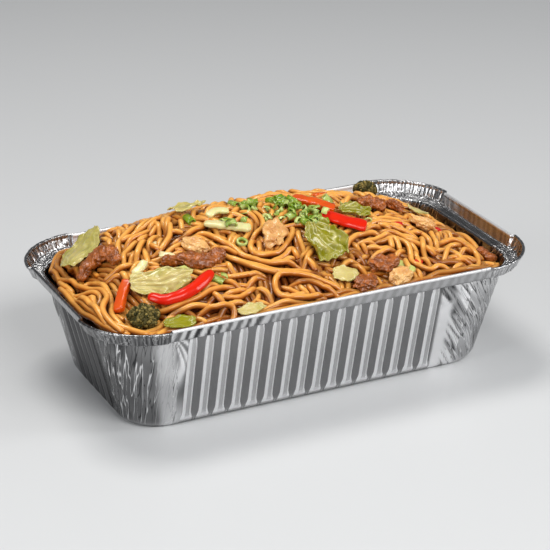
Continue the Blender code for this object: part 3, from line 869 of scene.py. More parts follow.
def foil_material(settings):
    """Rolled aluminium with fine creases; its colour carries painted highlights on its bends, flanks and hem and
    painted shade between them.
    """
    mat, shader = principled("foil", roughness=0.24, metallic=1.0)
    creases = placed_group(mat, crease_group(), Run=attribute_value(mat, "run"),
                           Level=attribute_value(mat, "level"), Amount=attribute_value(mat, "crease"))
    # shine mixes the metal's colour from its painted shade to its painted highlight.
    shine = attribute_value(mat, "shine")
    metal = mixed(mat, shine, settings.colour, settings.bright)
    # The fine creases add painted shade lines and painted glint lines to the metal's colour.
    metal = mixed(mat, creases["Dark"], metal, settings.colour)
    metal = mixed(mat, creases["Bright"], metal, settings.bright)
    mottle = mottled(mat, (0.9, 0.9, 0.9), (1.0, 1.0, 1.0), 0.5, 60.0, 1.4)
    fill_socket(mat, shader.inputs["Base Color"], mixed(mat, 1.0, metal, mottle, "MULTIPLY"))
    gloss = mat.node_tree.nodes.new("ShaderNodeMapRange")
    for label, value in (("From Min", 0.7), ("From Max", 0.95), ("To Min", 0.26), ("To Max", 0.46),
                         ("Value", shine)):
        fill_socket(mat, gloss.inputs[label], value)
    fill_socket(mat, shader.inputs["Roughness"], gloss.outputs["Result"])
    fill_socket(mat, shader.inputs["Normal"], creases["Normal"])
    return mat


def paint_inside_shade(sheet, share):
    """Paint shade on the side of the sheet that faces into the tray by lowering its painted light."""
    mesh = sheet.data
    places, normals = read(mesh.vertices, "co", 3) / MM, read(mesh.vertices, "normal", 3)
    core = np.array((RIM_LENGTH / 2 - RIM_CORNER, RIM_WIDTH / 2 - RIM_CORNER))
    out = places[:, :2] - np.clip(places[:, :2], -core, core)
    facing = (normals[:, :2] * out).sum(axis=1) / np.maximum(np.linalg.norm(out, axis=1), 0.1)
    layer = mesh.attributes["shine"].data
    values = read(layer, "value")
    inside = np.clip(-facing * 2.5, 0, 1) * (places[:, 2] < TRAY_HEIGHT - HEM_RISE - 1.3)
    # Painted shade on the inside.
    shaded = np.maximum(values * share, INNER_PAINTED_LIGHT)
    layer.foreach_set("value", (values + inside * (shaded - values)).astype(np.float32))


class MEAL_OT_foil_tray(bpy.types.Operator):
    """Build the drawn foil tray with its ribs, gathered corners and folded rim"""
    bl_idname = "meal.foil_tray"
    bl_label = "Foil tray"

    def execute(self, context):
        settings = context.scene.meal_foil
        stations = tray_stations()
        mat = foil_material(settings)
        count = len(stations)
        for name, (rows, looks), share in (
                ("foil_wall", wall_rows(stations, settings.wrinkles), WALL_INSIDE_PAINTED_LIGHT),
                ("foil_rim", rim_rows(stations), RIM_INSIDE_PAINTED_LIGHT)):
            points = [point for row in rows for point in row]
            faces = [face[::-1] for face in lattice_faces(len(rows), count)]
            if name == "foil_wall":
                faces += [(len(points), (i + 1) % count, i) for i in range(count)]
                points.append((0.0, 0.0, 0.25))
                for values in looks.values():
                    values.append(0.0)
            sheet = turn_out(make_piece(name, points, faces, looks))
            thicken(sheet, settings.thickness)
            paint_inside_shade(sheet, share)
            finish_piece(sheet, mat, "foil", "foil_tray")
        return {"FINISHED"}


# ---- noodles

STIFFNESS = 1.2             # how far a strand leaves what it lies on, to run straighter
TUCK_DEPTH = 3.2            # a strand's end dips this far under the others
TUCK_LENGTH = 7.0
GAP_TUCK = 1.6
# The core is a dark body of sauce colour and painted shade, seen through the gaps between the strands.
CORE_DEPTH = 5.6            # the sauce-covered core lies this far below the heap
FIRST_LAYER = 2.3           # the hidden strands stop this far below the heap
EDGE_ROOM = 1.7             # a strand's middle stays this far from the wall
HIDDEN_ROOM = 3.4
HIDDEN_SIDES = 6
# The hidden strands get at least this share of sauce colour and painted shade.
HIDDEN_SAUCE_AND_SHADE = 0.6          # least share of sauce on the hidden strands
WALL_GAP = 0.35             # clear space between a strand and the wall
BANK_SLACK = 0.3
WANDER_STEP = 1.5
NEAR_WALL = 6.0             # room at which a strand starts to turn back from the wall
MOST_STRANDS = 1800
CORE_POINTS, CORE_RINGS = 120, 30
WALL_LOOP = 400             # points round the loop along which the wall strands run


class Pile:
    """Height map of the food, on which strands are laid one after another."""

    def __init__(self, form, depth, lid, radius, sink):
        self.form, self.lid, self.radius, self.sink = form, lid, radius, sink
        self.space, self.bank = room_maps(form, radius)
        self.height = form - depth
        self.reach = int(radius / CELL)
        steps = np.arange(-self.reach, self.reach + 1)
        di, dj = np.meshgrid(steps, steps, indexing="ij")
        away = (di ** 2 + dj ** 2) * CELL ** 2
        inside = away < radius ** 2
        self.offsets = di[inside], dj[inside]
        self.dome = np.sqrt(radius ** 2 - away[inside])
        self.top = self.height.copy()
        self.refresh(0, form.shape[0], 0, form.shape[1])

    @staticmethod
    def cells(places):
        """Map cells of plan places."""
        return [np.clip(np.round((places[:, axis] + most) / CELL).astype(int), 8, int(2 * most / CELL) - 8)
                for axis, most in enumerate((MAP_X, MAP_Y))]

    def refresh(self, i0, i1, j0, j1):
        """Work out again, in a part of the map, how high a new strand's back would lie."""
        r = self.reach
        i0, i1 = max(i0, r), min(i1, self.height.shape[0] - r)
        j0, j1 = max(j0, r), min(j1, self.height.shape[1] - r)
        best = np.full((i1 - i0, j1 - j0), -99.0)
        for di, dj, dome in zip(*self.offsets, self.dome):
            best = np.maximum(best, self.height[i0 + di:i1 + di, j0 + dj:j1 + dj] + dome)
        self.top[i0:i1, j0:j1] = np.maximum(best - self.sink, self.bank[i0:i1, j0:j1]) + self.radius

    def room(self, x, y):
        """Distance from a place to the tray's wall, at the heap's height."""
        i, j = round((x + MAP_X) / CELL), round((y + MAP_Y) / CELL)
        return self.space[min(max(i, 0), self.space.shape[0] - 1), min(max(j, 0), self.space.shape[1] - 1)]

    def lay(self, places, tuck):
        """Rest a strand on the pile along its plan path, raise the pile, return its heights."""
        i, j = self.cells(places)
        z = self.top[i, j] - self.radius
        last = min(int(TUCK_LENGTH / STRAND_STEP), len(z) // 3)
        if last > 1:
            z[:last] = np.minimum(z[:last], z[last])
            z[-last:] = np.minimum(z[-last:], z[-last - 1])
        form = self.form[i, j]
        rest = sloped(z - form, STEEPEST * STRAND_STEP)
        close = smoothed(smoothed(rest, 2), 2)
        z = form + np.clip(smoothed(smoothed(rest, 6), 4), close - STIFFNESS, close + STIFFNESS)
        run = np.arange(len(z))
        end = np.minimum(run, run[::-1]) * STRAND_STEP
        dive = np.clip(1 - end / TUCK_LENGTH, 0, 1)
        z = z - tuck * dive * dive * (3 - 2 * dive)
        bank = self.bank[i, j]
        if (z < bank).any():
            z = smoothed(np.maximum(z, bank), 4)
        limit = self.lid[i, j] - self.radius - 0.1
        if (z > limit).any():
            z = smoothed(-sloped(-np.minimum(z, limit), STEEPEST * STRAND_STEP), 2)
            z = np.minimum(z, limit + 0.2)
        z = np.maximum(z, bank - BANK_SLACK)
        rows, columns = i[:, None] + self.offsets[0], j[:, None] + self.offsets[1]
        np.maximum.at(self.height, (rows, columns), z[:, None] + self.dome)
        edge = 2 * self.reach + 1
        self.refresh(i.min() - edge, i.max() + edge, j.min() - edge, j.max() + edge)
        return z


def room_maps(form, radius):
    """Room to the wall at the heap's height, and the lowest height at which a strand clears the wall."""
    xs = np.abs(np.arange(-MAP_X, MAP_X + CELL, CELL))[:, None]
    ys = np.abs(np.arange(-MAP_Y, MAP_Y + CELL, CELL))[None, :]

    def room(z):
        length, width, corner = wall_size(z)
        dx, dy = xs - length / 2 + corner, ys - width / 2 + corner
        outside = np.hypot(np.maximum(dx, 0.0), np.maximum(dy, 0.0))
        return corner - outside - np.minimum(np.maximum(dx, dy), 0.0)

    bank = np.full(form.shape, LEDGE_HEIGHT + radius + 0.15)
    for z in np.arange(LEDGE_HEIGHT - 0.2, 20.0, -0.8):
        bank = np.where(room(z) > radius + WALL_GAP, z, bank)
    return room(np.minimum(form - 1.5, LEDGE_HEIGHT)), bank


def sloped(values, fall):
    """Raise values so that they fall no more than so much from one to the next."""
    values = values.copy()
    for order in (range(1, len(values)), range(-2, -len(values) - 1, -1)):
        back = -1 if order.step > 0 else 1
        for k in order:
            values[k] = max(values[k], values[k + back] - fall)
    return values


def smoothed(values, reach):
    """Mean of the values within reach of each place."""
    padded = np.pad(values, reach, mode="edge")
    return np.mean([padded[k:k + len(values)] for k in range(2 * reach + 1)], axis=0)


def spread_map(values, reach, choose):
    """Take the lowest or highest value of a map within a reach in cells."""
    result = values.copy()
    steps = range(-int(reach), int(reach) + 1)
    for di, dj in ((di, dj) for di in steps for dj in steps if di * di + dj * dj <= reach * reach):
        result = choose(result, np.roll(np.roll(values, di, axis=0), dj, axis=1))
    return result


def plan_curve(places):
    """Even steps along a smooth curve through plan places."""
    knots = np.asarray(places, dtype=float)
    padded = np.vstack((2 * knots[0] - knots[1], knots, 2 * knots[-1] - knots[-2]))
    fine = [spline(*span, t) for span in zip(padded, padded[1:], padded[2:], padded[3:])
            for t in np.linspace(0, 1, 12, endpoint=False)]
    fine = np.array(fine + [knots[-1]])
    run = np.concatenate(([0], np.cumsum(np.linalg.norm(np.diff(fine, axis=0), axis=1))))
    places = np.linspace(0, run[-1], max(int(run[-1] / STRAND_STEP), 3))
    return np.column_stack([np.interp(places, run, fine[:, k]) for k in (0, 1)])


def lie_angle(x, y, layer):
    """Direction in which the strands of a layer lie at a place."""
    pull = noise_at(x / 30, y / 24, layer * 5.3)
    if x < -72:
        return math.pi / 2 + 0.8 * pull
    return layer * 0.7 + 3.6 * pull


def wander(start, heading, length, layer, keep_in, blocked, room_at):
    """Plan path that follows the lie of a layer of strands and turns back from the wall."""
    x, y = start
    path = [(x, y)]
    bend = WANDER_STEP / 7.5

    def room_ahead(turn):
        return room_at(x + math.cos(heading + turn) * 3, y + math.sin(heading + turn) * 3)

    for _ in range(int(length / WANDER_STEP)):
        turn, most = math.remainder(lie_angle(x, y, layer) - heading, math.pi), bend
        room = room_at(x, y) - keep_in
        if room < NEAR_WALL and room_ahead(0.0) - keep_in < room:
            turn = bend * 1.8 if room_ahead(0.4) > room_ahead(-0.4) else -bend * 1.8
            most = bend * (1.0 + 1.4 * max(0.0, 1 - room / 5.0))
        heading += max(-most, min(most, turn))
        x, y = x + math.cos(heading) * WANDER_STEP, y + math.sin(heading) * WANDER_STEP
        if room_at(x, y) < keep_in or blocked(x, y):
            break
        path.append((x, y))
    return path


# Strands given one by one, the lower ones first, each a plan path as x, y, x, y and so on.
STRANDS = (
    (-98.5, 16, -98.8, 8, -99.0, 0, -98.6, -9, -98.4, -18, -98.0, -27, -96.8, -35, -93.5, -41),
    (-101, 12, -101.6, 4, -101.8, -6, -101.5, -16, -100.8, -26, -99.2, -35, -96, -42, -91.5, -47),
    (-100.4, -4, -100, -14, -99.6, -24, -98.2, -33, -95.2, -40, -90, -46, -84, -50),
    (-56, -46.5, -50, -45, -45, -47.5, -40, -49.5),
    (-52, -48.5, -46, -45.5, -38, -43.5, -33, -42.5),
    (-35, -37.5, -30, -35, -25, -33.5, -20, -33.8),
    (-100, -6, -99.5, -12, -99, -20, -99, -30, -98, -38),
    (-97, -11, -96.5, -17, -98, -24),
    (-99, 18, -99.5, 12, -98.5, 7, -98, 3),
    (-88, -31, -88.5, -36, -89, -41, -87, -46),
    (-85, -50, -80, -48, -74, -46),
    (-88, -6, -83, -8, -79, -11, -77, -13),
    (-80, 9, -79, 3, -77, -2, -74, -6),
    (-76, 4, -73, 1, -70, 0, -66, -1),
    (-74, 17, -74, 11, -73.5, 6),
    (-72, 14, -72, 9, -71.5, 3),
    (-76, 22, -82, 21, -88, 16),
    (-79, -14, -74, -10, -70, -7.5, -66, -5),
    (-44, -25, -40.5, -28, -36, -30.5, -30, -31.5, -24, -32.5, -19, -33),
    (-43, -24.5, -39, -27, -35, -27.5),
    (-55, -41, -48, -39.5, -40, -41.5, -35, -41, -31, -39, -28, -36, -26.5, -33.5),
    (-48, -38, -42, -39, -36, -38.5, -32, -37, -30, -35),
    (-55, -37, -50, -35.5, -45, -34, -40, -33.5),
    (-32, -45.5, -25, -46, -21, -47),
    (-60, 16, -60, 9, -61, 4),
    (-52, 18, -54, 9, -56, 4),
    (-46, 19, -51, 11, -52, 5, -55, 0),
    (-45, 17, -48, 12, -51, 7, -53, 1),
    (-22, -24, -18, -26.5, -12, -26.5, -7, -24.5, -3, -22, 0, -22, 0.5, -23.5),
    (-15, -28, -10, -28.5, -6, -27.5, -3, -25.5, -4, -23.5),
    (-17.5, -39.7, -15, -42.3, -12.5, -43.7),
    (-18.5, -40, -17.5, -43, -13.5, -45.3, -8.5, -45, -4, -42.7),
    (-15, -37.7, -10, -39, -5, -40.3, 0, -43.5, 3.5, -46, 6, -48.5, 8.5, -50),
    (-11, -34.5, -6.5, -36, -2, -39, 3, -42),
    (-5, -49.5, -1.5, -48, 1, -48),
    (4, -39, 5, -42.5),
    (9, -40, 7, -43),
    (29, -42, 30, -45.7, 33.3, -48.3, 36.7, -49.7),
    (28, -26.7, 33.5, -28.7, 38.5, -29.3, 43.5, -28.7, 48, -27.5),
    (22.7, -32, 23.3, -29.3, 25.7, -27.7),
    (24, -33.3, 28.5, -32, 31, -31),
    (28.5, -34.3, 35, -32.7, 41.5, -31, 47, -30),
    (31, -23, 33.5, -24.5, 31, -25.7, 28, -25),
    (47.5, -35, 47, -39, 48.5, -43),
    (15.7, -12, 19.7, -13.3, 25, -14.7, 25.7, -16.7),
    (50, -6, 55, -4, 60, -1.7, 63.3, 0),
    (71.7, -37.7, 72.7, -41.7, 71.3, -44.7),
    (52.7, -35.3, 55.7, -34.7, 57.7, -37.3, 58, -40, 57, -42.7),
    (32, 0, 36, 5, 40, 9, 45, 13),
    (84, -37, 90, -36, 94, -39),
    (95, 6, 97, -6, 97, -18, 94, -30),
    (42, 18, 52, 16, 62, 14, 72, 16),
    (-99, 0, -96, -6, -93.5, -11, -92.5, -15, -93.5, -18, -96, -20),
    (-86, -4, -81, -6, -77, -7, -73, -6.5, -69, -7),
    (-98, 21, -97, 16, -96, 11, -95.5, 6, -95, 0, -93, -6, -91, -11, -90.5, -15, -91, -20, -94, -25, -97, -30,
     -97.5, -35, -96.5, -40, -94, -46),
    (-94, 0, -92, 2, -90, 0, -89, -5, -89, -15, -89.5, -20, -91, -25, -93, -30, -94, -35, -93, -40, -92, -46),
    (-70, -15, -67.5, -10, -66.5, -5, -65.5, 0, -65.3, 5),
    (-64, 4, -60, 6, -57, 8, -55, 11),
    (-65, -4, -63, -7, -60, -6.5, -55, -3, -52, 1, -50, 6, -48, 12),
    (-66, -7, -64, -10, -60, -10, -57, -8, -54, -6, -50, -3),
    (-86, -29, -82, -31, -77, -35, -73, -38.5, -68, -39.5, -62, -38.5, -55, -38, -50, -36.5, -43, -36, -37, -35,
     -32, -33.5),
    (-81, -51, -75, -47, -72, -45, -67, -43, -62, -43.5, -58.5, -46, -57, -49),
    (-60, -43, -55, -44.5, -50, -46, -44.5, -46.5, -43.5, -48, -45.5, -50.5),
    (-90, -43.5, -85, -46.5, -78, -45.5, -73, -43, -68, -40.5, -63, -41, -58, -41.5, -50, -42.5, -47, -44, -40,
     -45, -35, -45, -31, -43, -28, -40, -26, -37),
    (-41, -46.5, -35, -47.5, -28, -48, -22, -48, -15, -49, -8, -50),
    (-33, -15, -31.5, -19, -29.5, -23, -26, -27, -21.5, -29.5, -16.5, -32, -10, -34, -5, -34.5, 0, -35, 5, -36,
     11, -37.5),
    (-45, -2, -40, -3, -36, -5.5, -33, -9, -31.5, -12, -29, -15, -27.5, -20, -25, -23.5, -20, -27, -15, -29.5, -8,
     -31, -3, -32),
    (-66, -9, -61, -10, -56, -7.5, -52, -6.5, -48, -5.5, -43, -4.5, -39, -5.5, -37, -9, -35, -13, -34, -18, -32,
     -23, -28, -27.5, -22, -31, -15, -33),
    (-27, 15, -28.3, 13, -30.7, 7.7, -33.7, 4, -37.3, 1.3, -41.7, 0, -46.7, -1.7, -51.7, -3, -57, -5),
    (-31, 9, -28, 14, -22, 17, -16, 15, -9, 15),
    (-24, 15, -19, 13, -14, 12, -8, 14),
    (-9, 10, -16, 8, -21, 5, -22, -1, -18, -5, -13, -8),
    (-12, 18, -5, 18, 3, 18, 12, 20),
    (-17, -13, -20, -17, -19.5, -21, -14, -22.5, -9, -21),
    (-15, -11, -19, -14.5, -22, -19, -22, -22.5, -19, -24, -13, -24, -8, -22, -3, -18.5, 1, -14.5, 2.5, -10.5,
     0.5, -6.5),
    (12, -50, 8, -46.5, 4, -43.5, 0, -41.5, -5, -39, -10, -36.7, -15, -35.3, -18.5, -37.3, -20.3, -41, -19.7,
     -44.5, -16.5, -47.5, -11.5, -49.3, -6.5, -49.5, -2, -48, 1, -45),
    (6, -10, 4.5, -13.5, 2.5, -17.5, 2, -23.5, 1, -28.5),
    (10, -39, 12, -38, 15, -36.5, 18.5, -35),
    (15, -37.7, 16.7, -39.7, 21, -40.7, 25, -42, 27.7, -44.7, 28.3, -47.7, 27.3, -50),
    (20.5, -24.5, 23.5, -22, 26.5, -20.5),
    (21, -29, 20.3, -33, 23.3, -36, 28.3, -37, 33.3, -36, 38.3, -34.7, 43.3, -34.3, 48, -33.3),
    (18.5, -28.5, 21.5, -26.5, 25, -23.5, 28.5, -21.5, 31.5, -20, 36.5, -19.3, 41.5, -20, 45.5, -21.5),
    (60.5, -9, 63, -13, 66, -17, 67, -21, 66.5, -26, 65, -29),
    (41.5, -11.3, 45, -11.5, 50, -13.3, 55, -16, 58.5, -18.7, 61, -21.3, 63.3, -25.5),
    (41.5, -14.5, 45, -16.5, 50, -18, 53.5, -20.7, 56, -24.3, 58.5, -27.7, 61, -30, 63.7, -32, 66.5, -35),
    (50.7, -9, 56.7, -7, 61.7, -4.3, 65, -1),
    (36, 3, 42, 9, 48, 13, 54, 15),
    (66, 9, 80, 3, 90, -6, 95, -16, 94, -26),
    (95, -11.7, 90, -18.7, 85, -23.3, 80, -26.3, 75, -27.3, 70, -26.7),
    (62, -28, 68, -30, 73.3, -32, 76, -35, 76, -38.5, 75, -42),
    (66, -26, 72, -25, 80, -24, 86, -26, 88, -31, 85, -38, 80, -44),
    (33, -21.7, 38, -23, 43, -24, 48, -23.3, 51.3, -24.3, 53, -26.7, 53, -29.5, 51.7, -33.3, 50, -37.3, 50.7,
     -40.7, 53.3, -43.3, 56.7, -44.3, 60, -43, 63.3, -43.7, 65.5, -46, 66.3, -48.7),
)


def heap_map():
    """Height of the heap at every cell of the map."""
    xs, ys = (np.arange(-most, most + CELL, CELL) for most in (MAP_X, MAP_Y))
    coarse = 4
    rough = np.array([[heap_height(x, y) for y in ys[::coarse]] for x in xs[::coarse]])
    across = np.array([np.interp(ys, ys[::coarse], row) for row in rough])
    return np.array([np.interp(xs, xs[::coarse], column) for column in across.T]).T


def lid_map(shape):
    """Lowest point of the toppings over every cell, kept clear by a strand's radius."""
    lid = np.full(shape, 999.0)
    for name, node in frame["nodes"].items():
        if name in ("foil_tray", "noodles"):
            continue
        corners = read(node.data.vertices, "co", 3) / MM
        node.data.calc_loop_triangles()
        a, b, c = (corners[[triangle.vertices[k] for triangle in node.data.loop_triangles]]
                   for k in range(3))
        for u, v in ((0, 0), (1, 0), (0, 1), (0.5, 0), (0, 0.5), (0.5, 0.5), (0.33, 0.33), (0.2, 0.6),
                     (0.6, 0.2), (0.2, 0.2), (0.25, 0), (0.75, 0), (0, 0.25), (0, 0.75), (0.25, 0.75)):
            points = a * (1 - u - v) + b * u + c * v
            np.minimum.at(lid, tuple(Pile.cells(points)), points[:, 2])
    return spread_map(lid, 4, np.minimum)


def fill_pile(pile, target, over, layer, rng, length, keep_in, shortest, tuck=TUCK_DEPTH):
    """Lay wandering strands wherever one fits below the target, the deepest places first."""
    laid = []
    coarse = 3
    aim = np.minimum(target, pile.lid)
    open_cells = (pile.space > keep_in)[::coarse, ::coarse].copy()

    def trace(start, heading, reach):
        misses = 0

        def blocked(x, y):
            nonlocal misses
            i, j = int((x + MAP_X) / CELL), int((y + MAP_Y) / CELL)
            misses = misses + 1 if pile.top[i, j] > aim[i, j] + over else 0
            return misses > 2

        return wander(start, heading, reach, layer, keep_in, blocked, pile.room)

    for _ in range(MOST_STRANDS):
        lack = np.where(open_cells, (aim - pile.top)[::coarse, ::coarse], -99.0)
        i, j = np.unravel_index(np.argmax(lack), lack.shape)
        if lack[i, j] < -over:
            break
        start = (i * coarse * CELL - MAP_X, j * coarse * CELL - MAP_Y)
        heading = lie_angle(*start, layer)
        reach = length * rng.uniform(0.3, 0.6)
        ahead = trace(start, heading, reach)
        path = trace(start, heading + math.pi, reach)[::-1] + ahead[1:]
        if len(path) * WANDER_STEP < shortest:
            open_cells[i, j] = False
            continue
        places = plan_curve(path[::3] + [path[-1]])
        before = pile.top[i * coarse, j * coarse]
        laid.append((places, pile.lay(places, tuck), pile.radius * rng.uniform(0.92, 1.05),
                     rng.uniform(0, 1)))
        if pile.top[i * coarse, j * coarse] < before + 0.3:
            open_cells[i, j] = False
    return laid


def wall_strands(pile, rng):
    """Strands pressed against the wall all round, in two rounds one above the other."""
    laid = []
    for inset, depth in ((2.3, 3.0), (5.2, 3.0), (2.0, 0.8), (4.6, 0.4)):
        length, width, radius = wall_size(47.0)
        outline = np.array(rounded_outline(length - 2 * inset, width - 2 * inset, radius - inset,
                                           WALL_LOOP))
        first = rng.integers(WALL_LOOP)
        while first < 780:
            count = int(rng.integers(28, 64))
            places = np.take(outline, range(first, first + count), axis=0, mode="wrap")
            inward = -places / np.linalg.norm(places, axis=1)[:, None]
            sway = [max(noise_at(k / 13, inset * 3, first), -0.15) for k in range(count)]
            short = np.array([max(inset - pile.room(x, y), 0.0) for x, y in places])
            places = plan_curve((places + inward * (short + 2.6 * np.array(sway))[:, None])[::6])
            i, j = pile.cells(places)
            if np.median(pile.top[i, j] - pile.form[i, j]) < -depth + 1.6:
                laid.append((places, pile.lay(places, TUCK_DEPTH), pile.radius * rng.uniform(0.94, 1.04),
                             rng.uniform(0, 0.8)))
            first += count - 3
    return laid


def tube_tree():
    """Geometry Nodes that turn threads into round strands."""
    return shape_tree(
        "noodle strands", (("Sides", "Int", 9),),
        (("curve", "MeshToCurve"), ("radius", "SetCurveRadius"),
         ("thickness", "InputNamedAttribute", {"data_type": "FLOAT", "Name": "thickness"}),
         ("profile", "CurvePrimitiveCircle", {"Radius": 1.0}),
         ("tube", "CurveToMesh", {"Fill Caps": True}), ("smooth", "SetShadeSmooth")),
        """in.Geometry > curve.Mesh
        curve.Curve > radius.Curve
        thickness.Attribute > radius.Radius
        radius.Curve > tube.Curve
        thickness.Attribute > tube.Scale
        in.Sides > profile.Resolution
        profile.Curve > tube.Profile Curve
        tube.Mesh > smooth.Geometry""", "smooth.Geometry")


def noodle_material(settings):
    """Glossy strands: golden, paler on top as painted light, and darkened towards the sauce colour between the
    strands and on their undersides, as painted shade and sauce.
    """
    mat, shader = principled("noodles", roughness=0.36, coat=0.45, coat_roughness=0.06, specular=0.2,
                             subsurface=0.08, scatter=(1.0, 0.45, 0.2))
    # The tone mixes in pale, the painted light on the strands' tops.
    base = mixed(mat, attribute_value(mat, "tone"), settings.colour, settings.pale)
    mottle = mottled(mat, (1.0, 1.0, 1.0), (0.80, 0.66, 0.50), 0.4, 260.0, 1.6)
    base = mixed(mat, 1.0, base, mottle, "MULTIPLY")
    # Painted shade and sauce colour between and under the strands.
    result = mixed(mat, attribute_value(mat, "sauce"), base, settings.sauce)
    return dress(mat, shader, result, 900.0, 0.12)


def rounded_outline(length, width, radius, count):
    """Points round a rounded rectangle, evenly spread over its angle from the corners' middles."""
    points = []
    for k in range(count):
        side, share = divmod(4 * k / count, 1)
        side = int(side)
        along = (length, width)[side % 2] / 2 - radius
        reach = (width, length)[side % 2] / 2
        run = (share - 0.5) * 2 * (along + math.pi / 4 * radius)
        u, v = run, reach
        if abs(run) > along:
            angle = (abs(run) - along) / radius
            u = math.copysign(along + radius * math.sin(angle), run)
            v = reach - radius + radius * math.cos(angle)
        points.append(((u, -v), (v, u), (-u, v), (-v, -u))[side])
    return points


def noodle_core(settings):
    """Dark body of sauce and crushed strands inside the heap, its dark colour painted shade seen through the gaps
    between the strands.
    """
    rows = []
    for z, inset in ((4.0, 6.0), (30.0, 4.0), (40.0, 4.0)):
        length, width, radius = wall_size(z)
        rows.append([(x, y, z) for x, y in rounded_outline(length - 2 * inset, width - 2 * inset,
                                                           radius - inset, CORE_POINTS)])
    length, width, radius = wall_size(42.0)
    outline = rounded_outline(length - 5.0, width - 5.0, radius - 2.5, CORE_POINTS)
    for ring in range(CORE_RINGS):
        share = 1 - ring / CORE_RINGS
        row = []
        for x, y in outline:
            px, py = x * share, y * share
            z = heap_height(px, py) - CORE_DEPTH + 0.6 * noise_at(px / 2.5, py / 2.5, 9.0)
            row.append((px, py, z if ring else min(z, 43.0)))
        rows.append(row)
    mat = food_material("noodle core", tuple(settings.sauce), scaled(settings.sauce, (0.5, 0.5, 0.5)),
                        patch=300.0, roughness=0.4)
    finish_piece(capped_piece("noodle_core", rows), mat, "noodles", "noodles")


def strand_piece(name, strands, tree, mat, sides):
    """One mesh of round strands with their thickness and tone."""
    points, edges, thickness, tone = [], [], [], []
    for places, heights, radius, shade in strands:
        first, count = len(points), len(places)
        points += [(x, y, z) for (x, y), z in zip(places, heights)]
        edges += [(first + i, first + i + 1) for i in range(count - 1)]
        sizes = [radius * (1 + 0.05 * noise_at(first * 0.37, i / 6, 3.0)) for i in range(count)]
        sizes[0] *= 0.72
        sizes[-1] *= 0.72
        thickness += sizes
        tone += [shade] * count
    piece = make_piece(name, points, [], {"thickness": np.array(thickness) * MM, "tone": tone}, edges)
    grow(piece, tree, Sides=sides, Material=mat)
    return piece


def mark_sauce_and_shade(pieces, surface, space):
    """Write on every point its share of sauce colour and painted shade: more the deeper it lies between the
    strands and the more it faces down, less along the wall; and make the strands' tops paler as painted light.
    """
    high = spread_map(surface, math.sqrt(10), np.maximum)
    for piece in pieces:
        mesh = piece.data
        points, up = read(mesh.vertices, "co", 3) / MM, read(mesh.vertices, "normal", 3)[:, 2]
        i, j = Pile.cells(points)
        depth = high[i, j] - points[:, 2]
        least = HIDDEN_SAUCE_AND_SHADE if piece.name == "noodles_under" else 0.0
        # Painted shade in the sauce's colour, deeper the further a point lies below the strands around it.
        sauce = np.maximum(0.88 * np.clip((depth - 0.8) / 2.8, 0, 1) ** 0.8, least)
        sauce *= np.clip(space[i, j] / 6, 0.3, 1)
        # Undersides get painted shade.
        sauce = np.maximum(sauce, 0.85 * np.clip((0.42 - up) / 0.75, 0, 1))
        layer = mesh.attributes["tone"].data
        # Tops facing up get painted light through a paler tone.
        tones_and_top_light = 0.5 * read(layer, "value") + 0.85 * np.clip((up - 0.2) / 0.7, 0, 1) - 0.15
        layer.foreach_set("value", np.clip(tones_and_top_light, 0, 1).astype(np.float32))
        write_attribute(mesh, "sauce", sauce)


class MEAL_OT_noodles(bpy.types.Operator):
    """Lay the strands of noodle over a dark core of sauce colour and painted shade, up to the outline of the heap
    """
    bl_idname = "meal.noodles"
    bl_label = "Noodles"

    def execute(self, context):
        settings = context.scene.meal_noodles
        rng = np.random.default_rng(settings.seed)
        heap = heap_map()
        lid = lid_map(heap.shape)
        pile = Pile(heap, CORE_DEPTH, lid, settings.radius, settings.sink)
        hidden = wall_strands(pile, rng)
        low_aim = np.minimum(heap - FIRST_LAYER, lid - 0.6)
        hidden += fill_pile(pile, low_aim, 0.8, 1, rng, 110.0, HIDDEN_ROOM, 10.0)
        shown = []
        for path in STRANDS:
            places = plan_curve(np.reshape(path, (-1, 2)))
            size = pile.radius * rng.uniform(0.97, 1.08)
            shown.append((places, pile.lay(places, TUCK_DEPTH), size, rng.uniform(0.1, 0.8)))
        filled = fill_pile(pile, heap - 0.5, 0.5, 2, rng, 90.0, EDGE_ROOM, 14.0)
        filled += fill_pile(pile, heap - 1.0, 0.5, 3, rng, 30.0, EDGE_ROOM, 6.0, GAP_TUCK)
        mat = noodle_material(settings)
        noodle_core(settings)
        tree = tube_tree()
        half = len(filled) // 2
        groups = (("noodles_under", hidden), ("noodles_top", shown), ("noodles_fill", filled[:half]),
                  ("noodles_back", filled[half:]))
        pieces = [strand_piece(name, strands, tree, mat,
                               HIDDEN_SIDES if strands is hidden else settings.sides)
                  for name, strands in groups if strands]
        mark_sauce_and_shade(pieces, pile.height, pile.space)
        for piece in pieces:
            finish_piece(piece, mat, "noodles", "noodles")
        return {"FINISHED"}


# ---- toppings

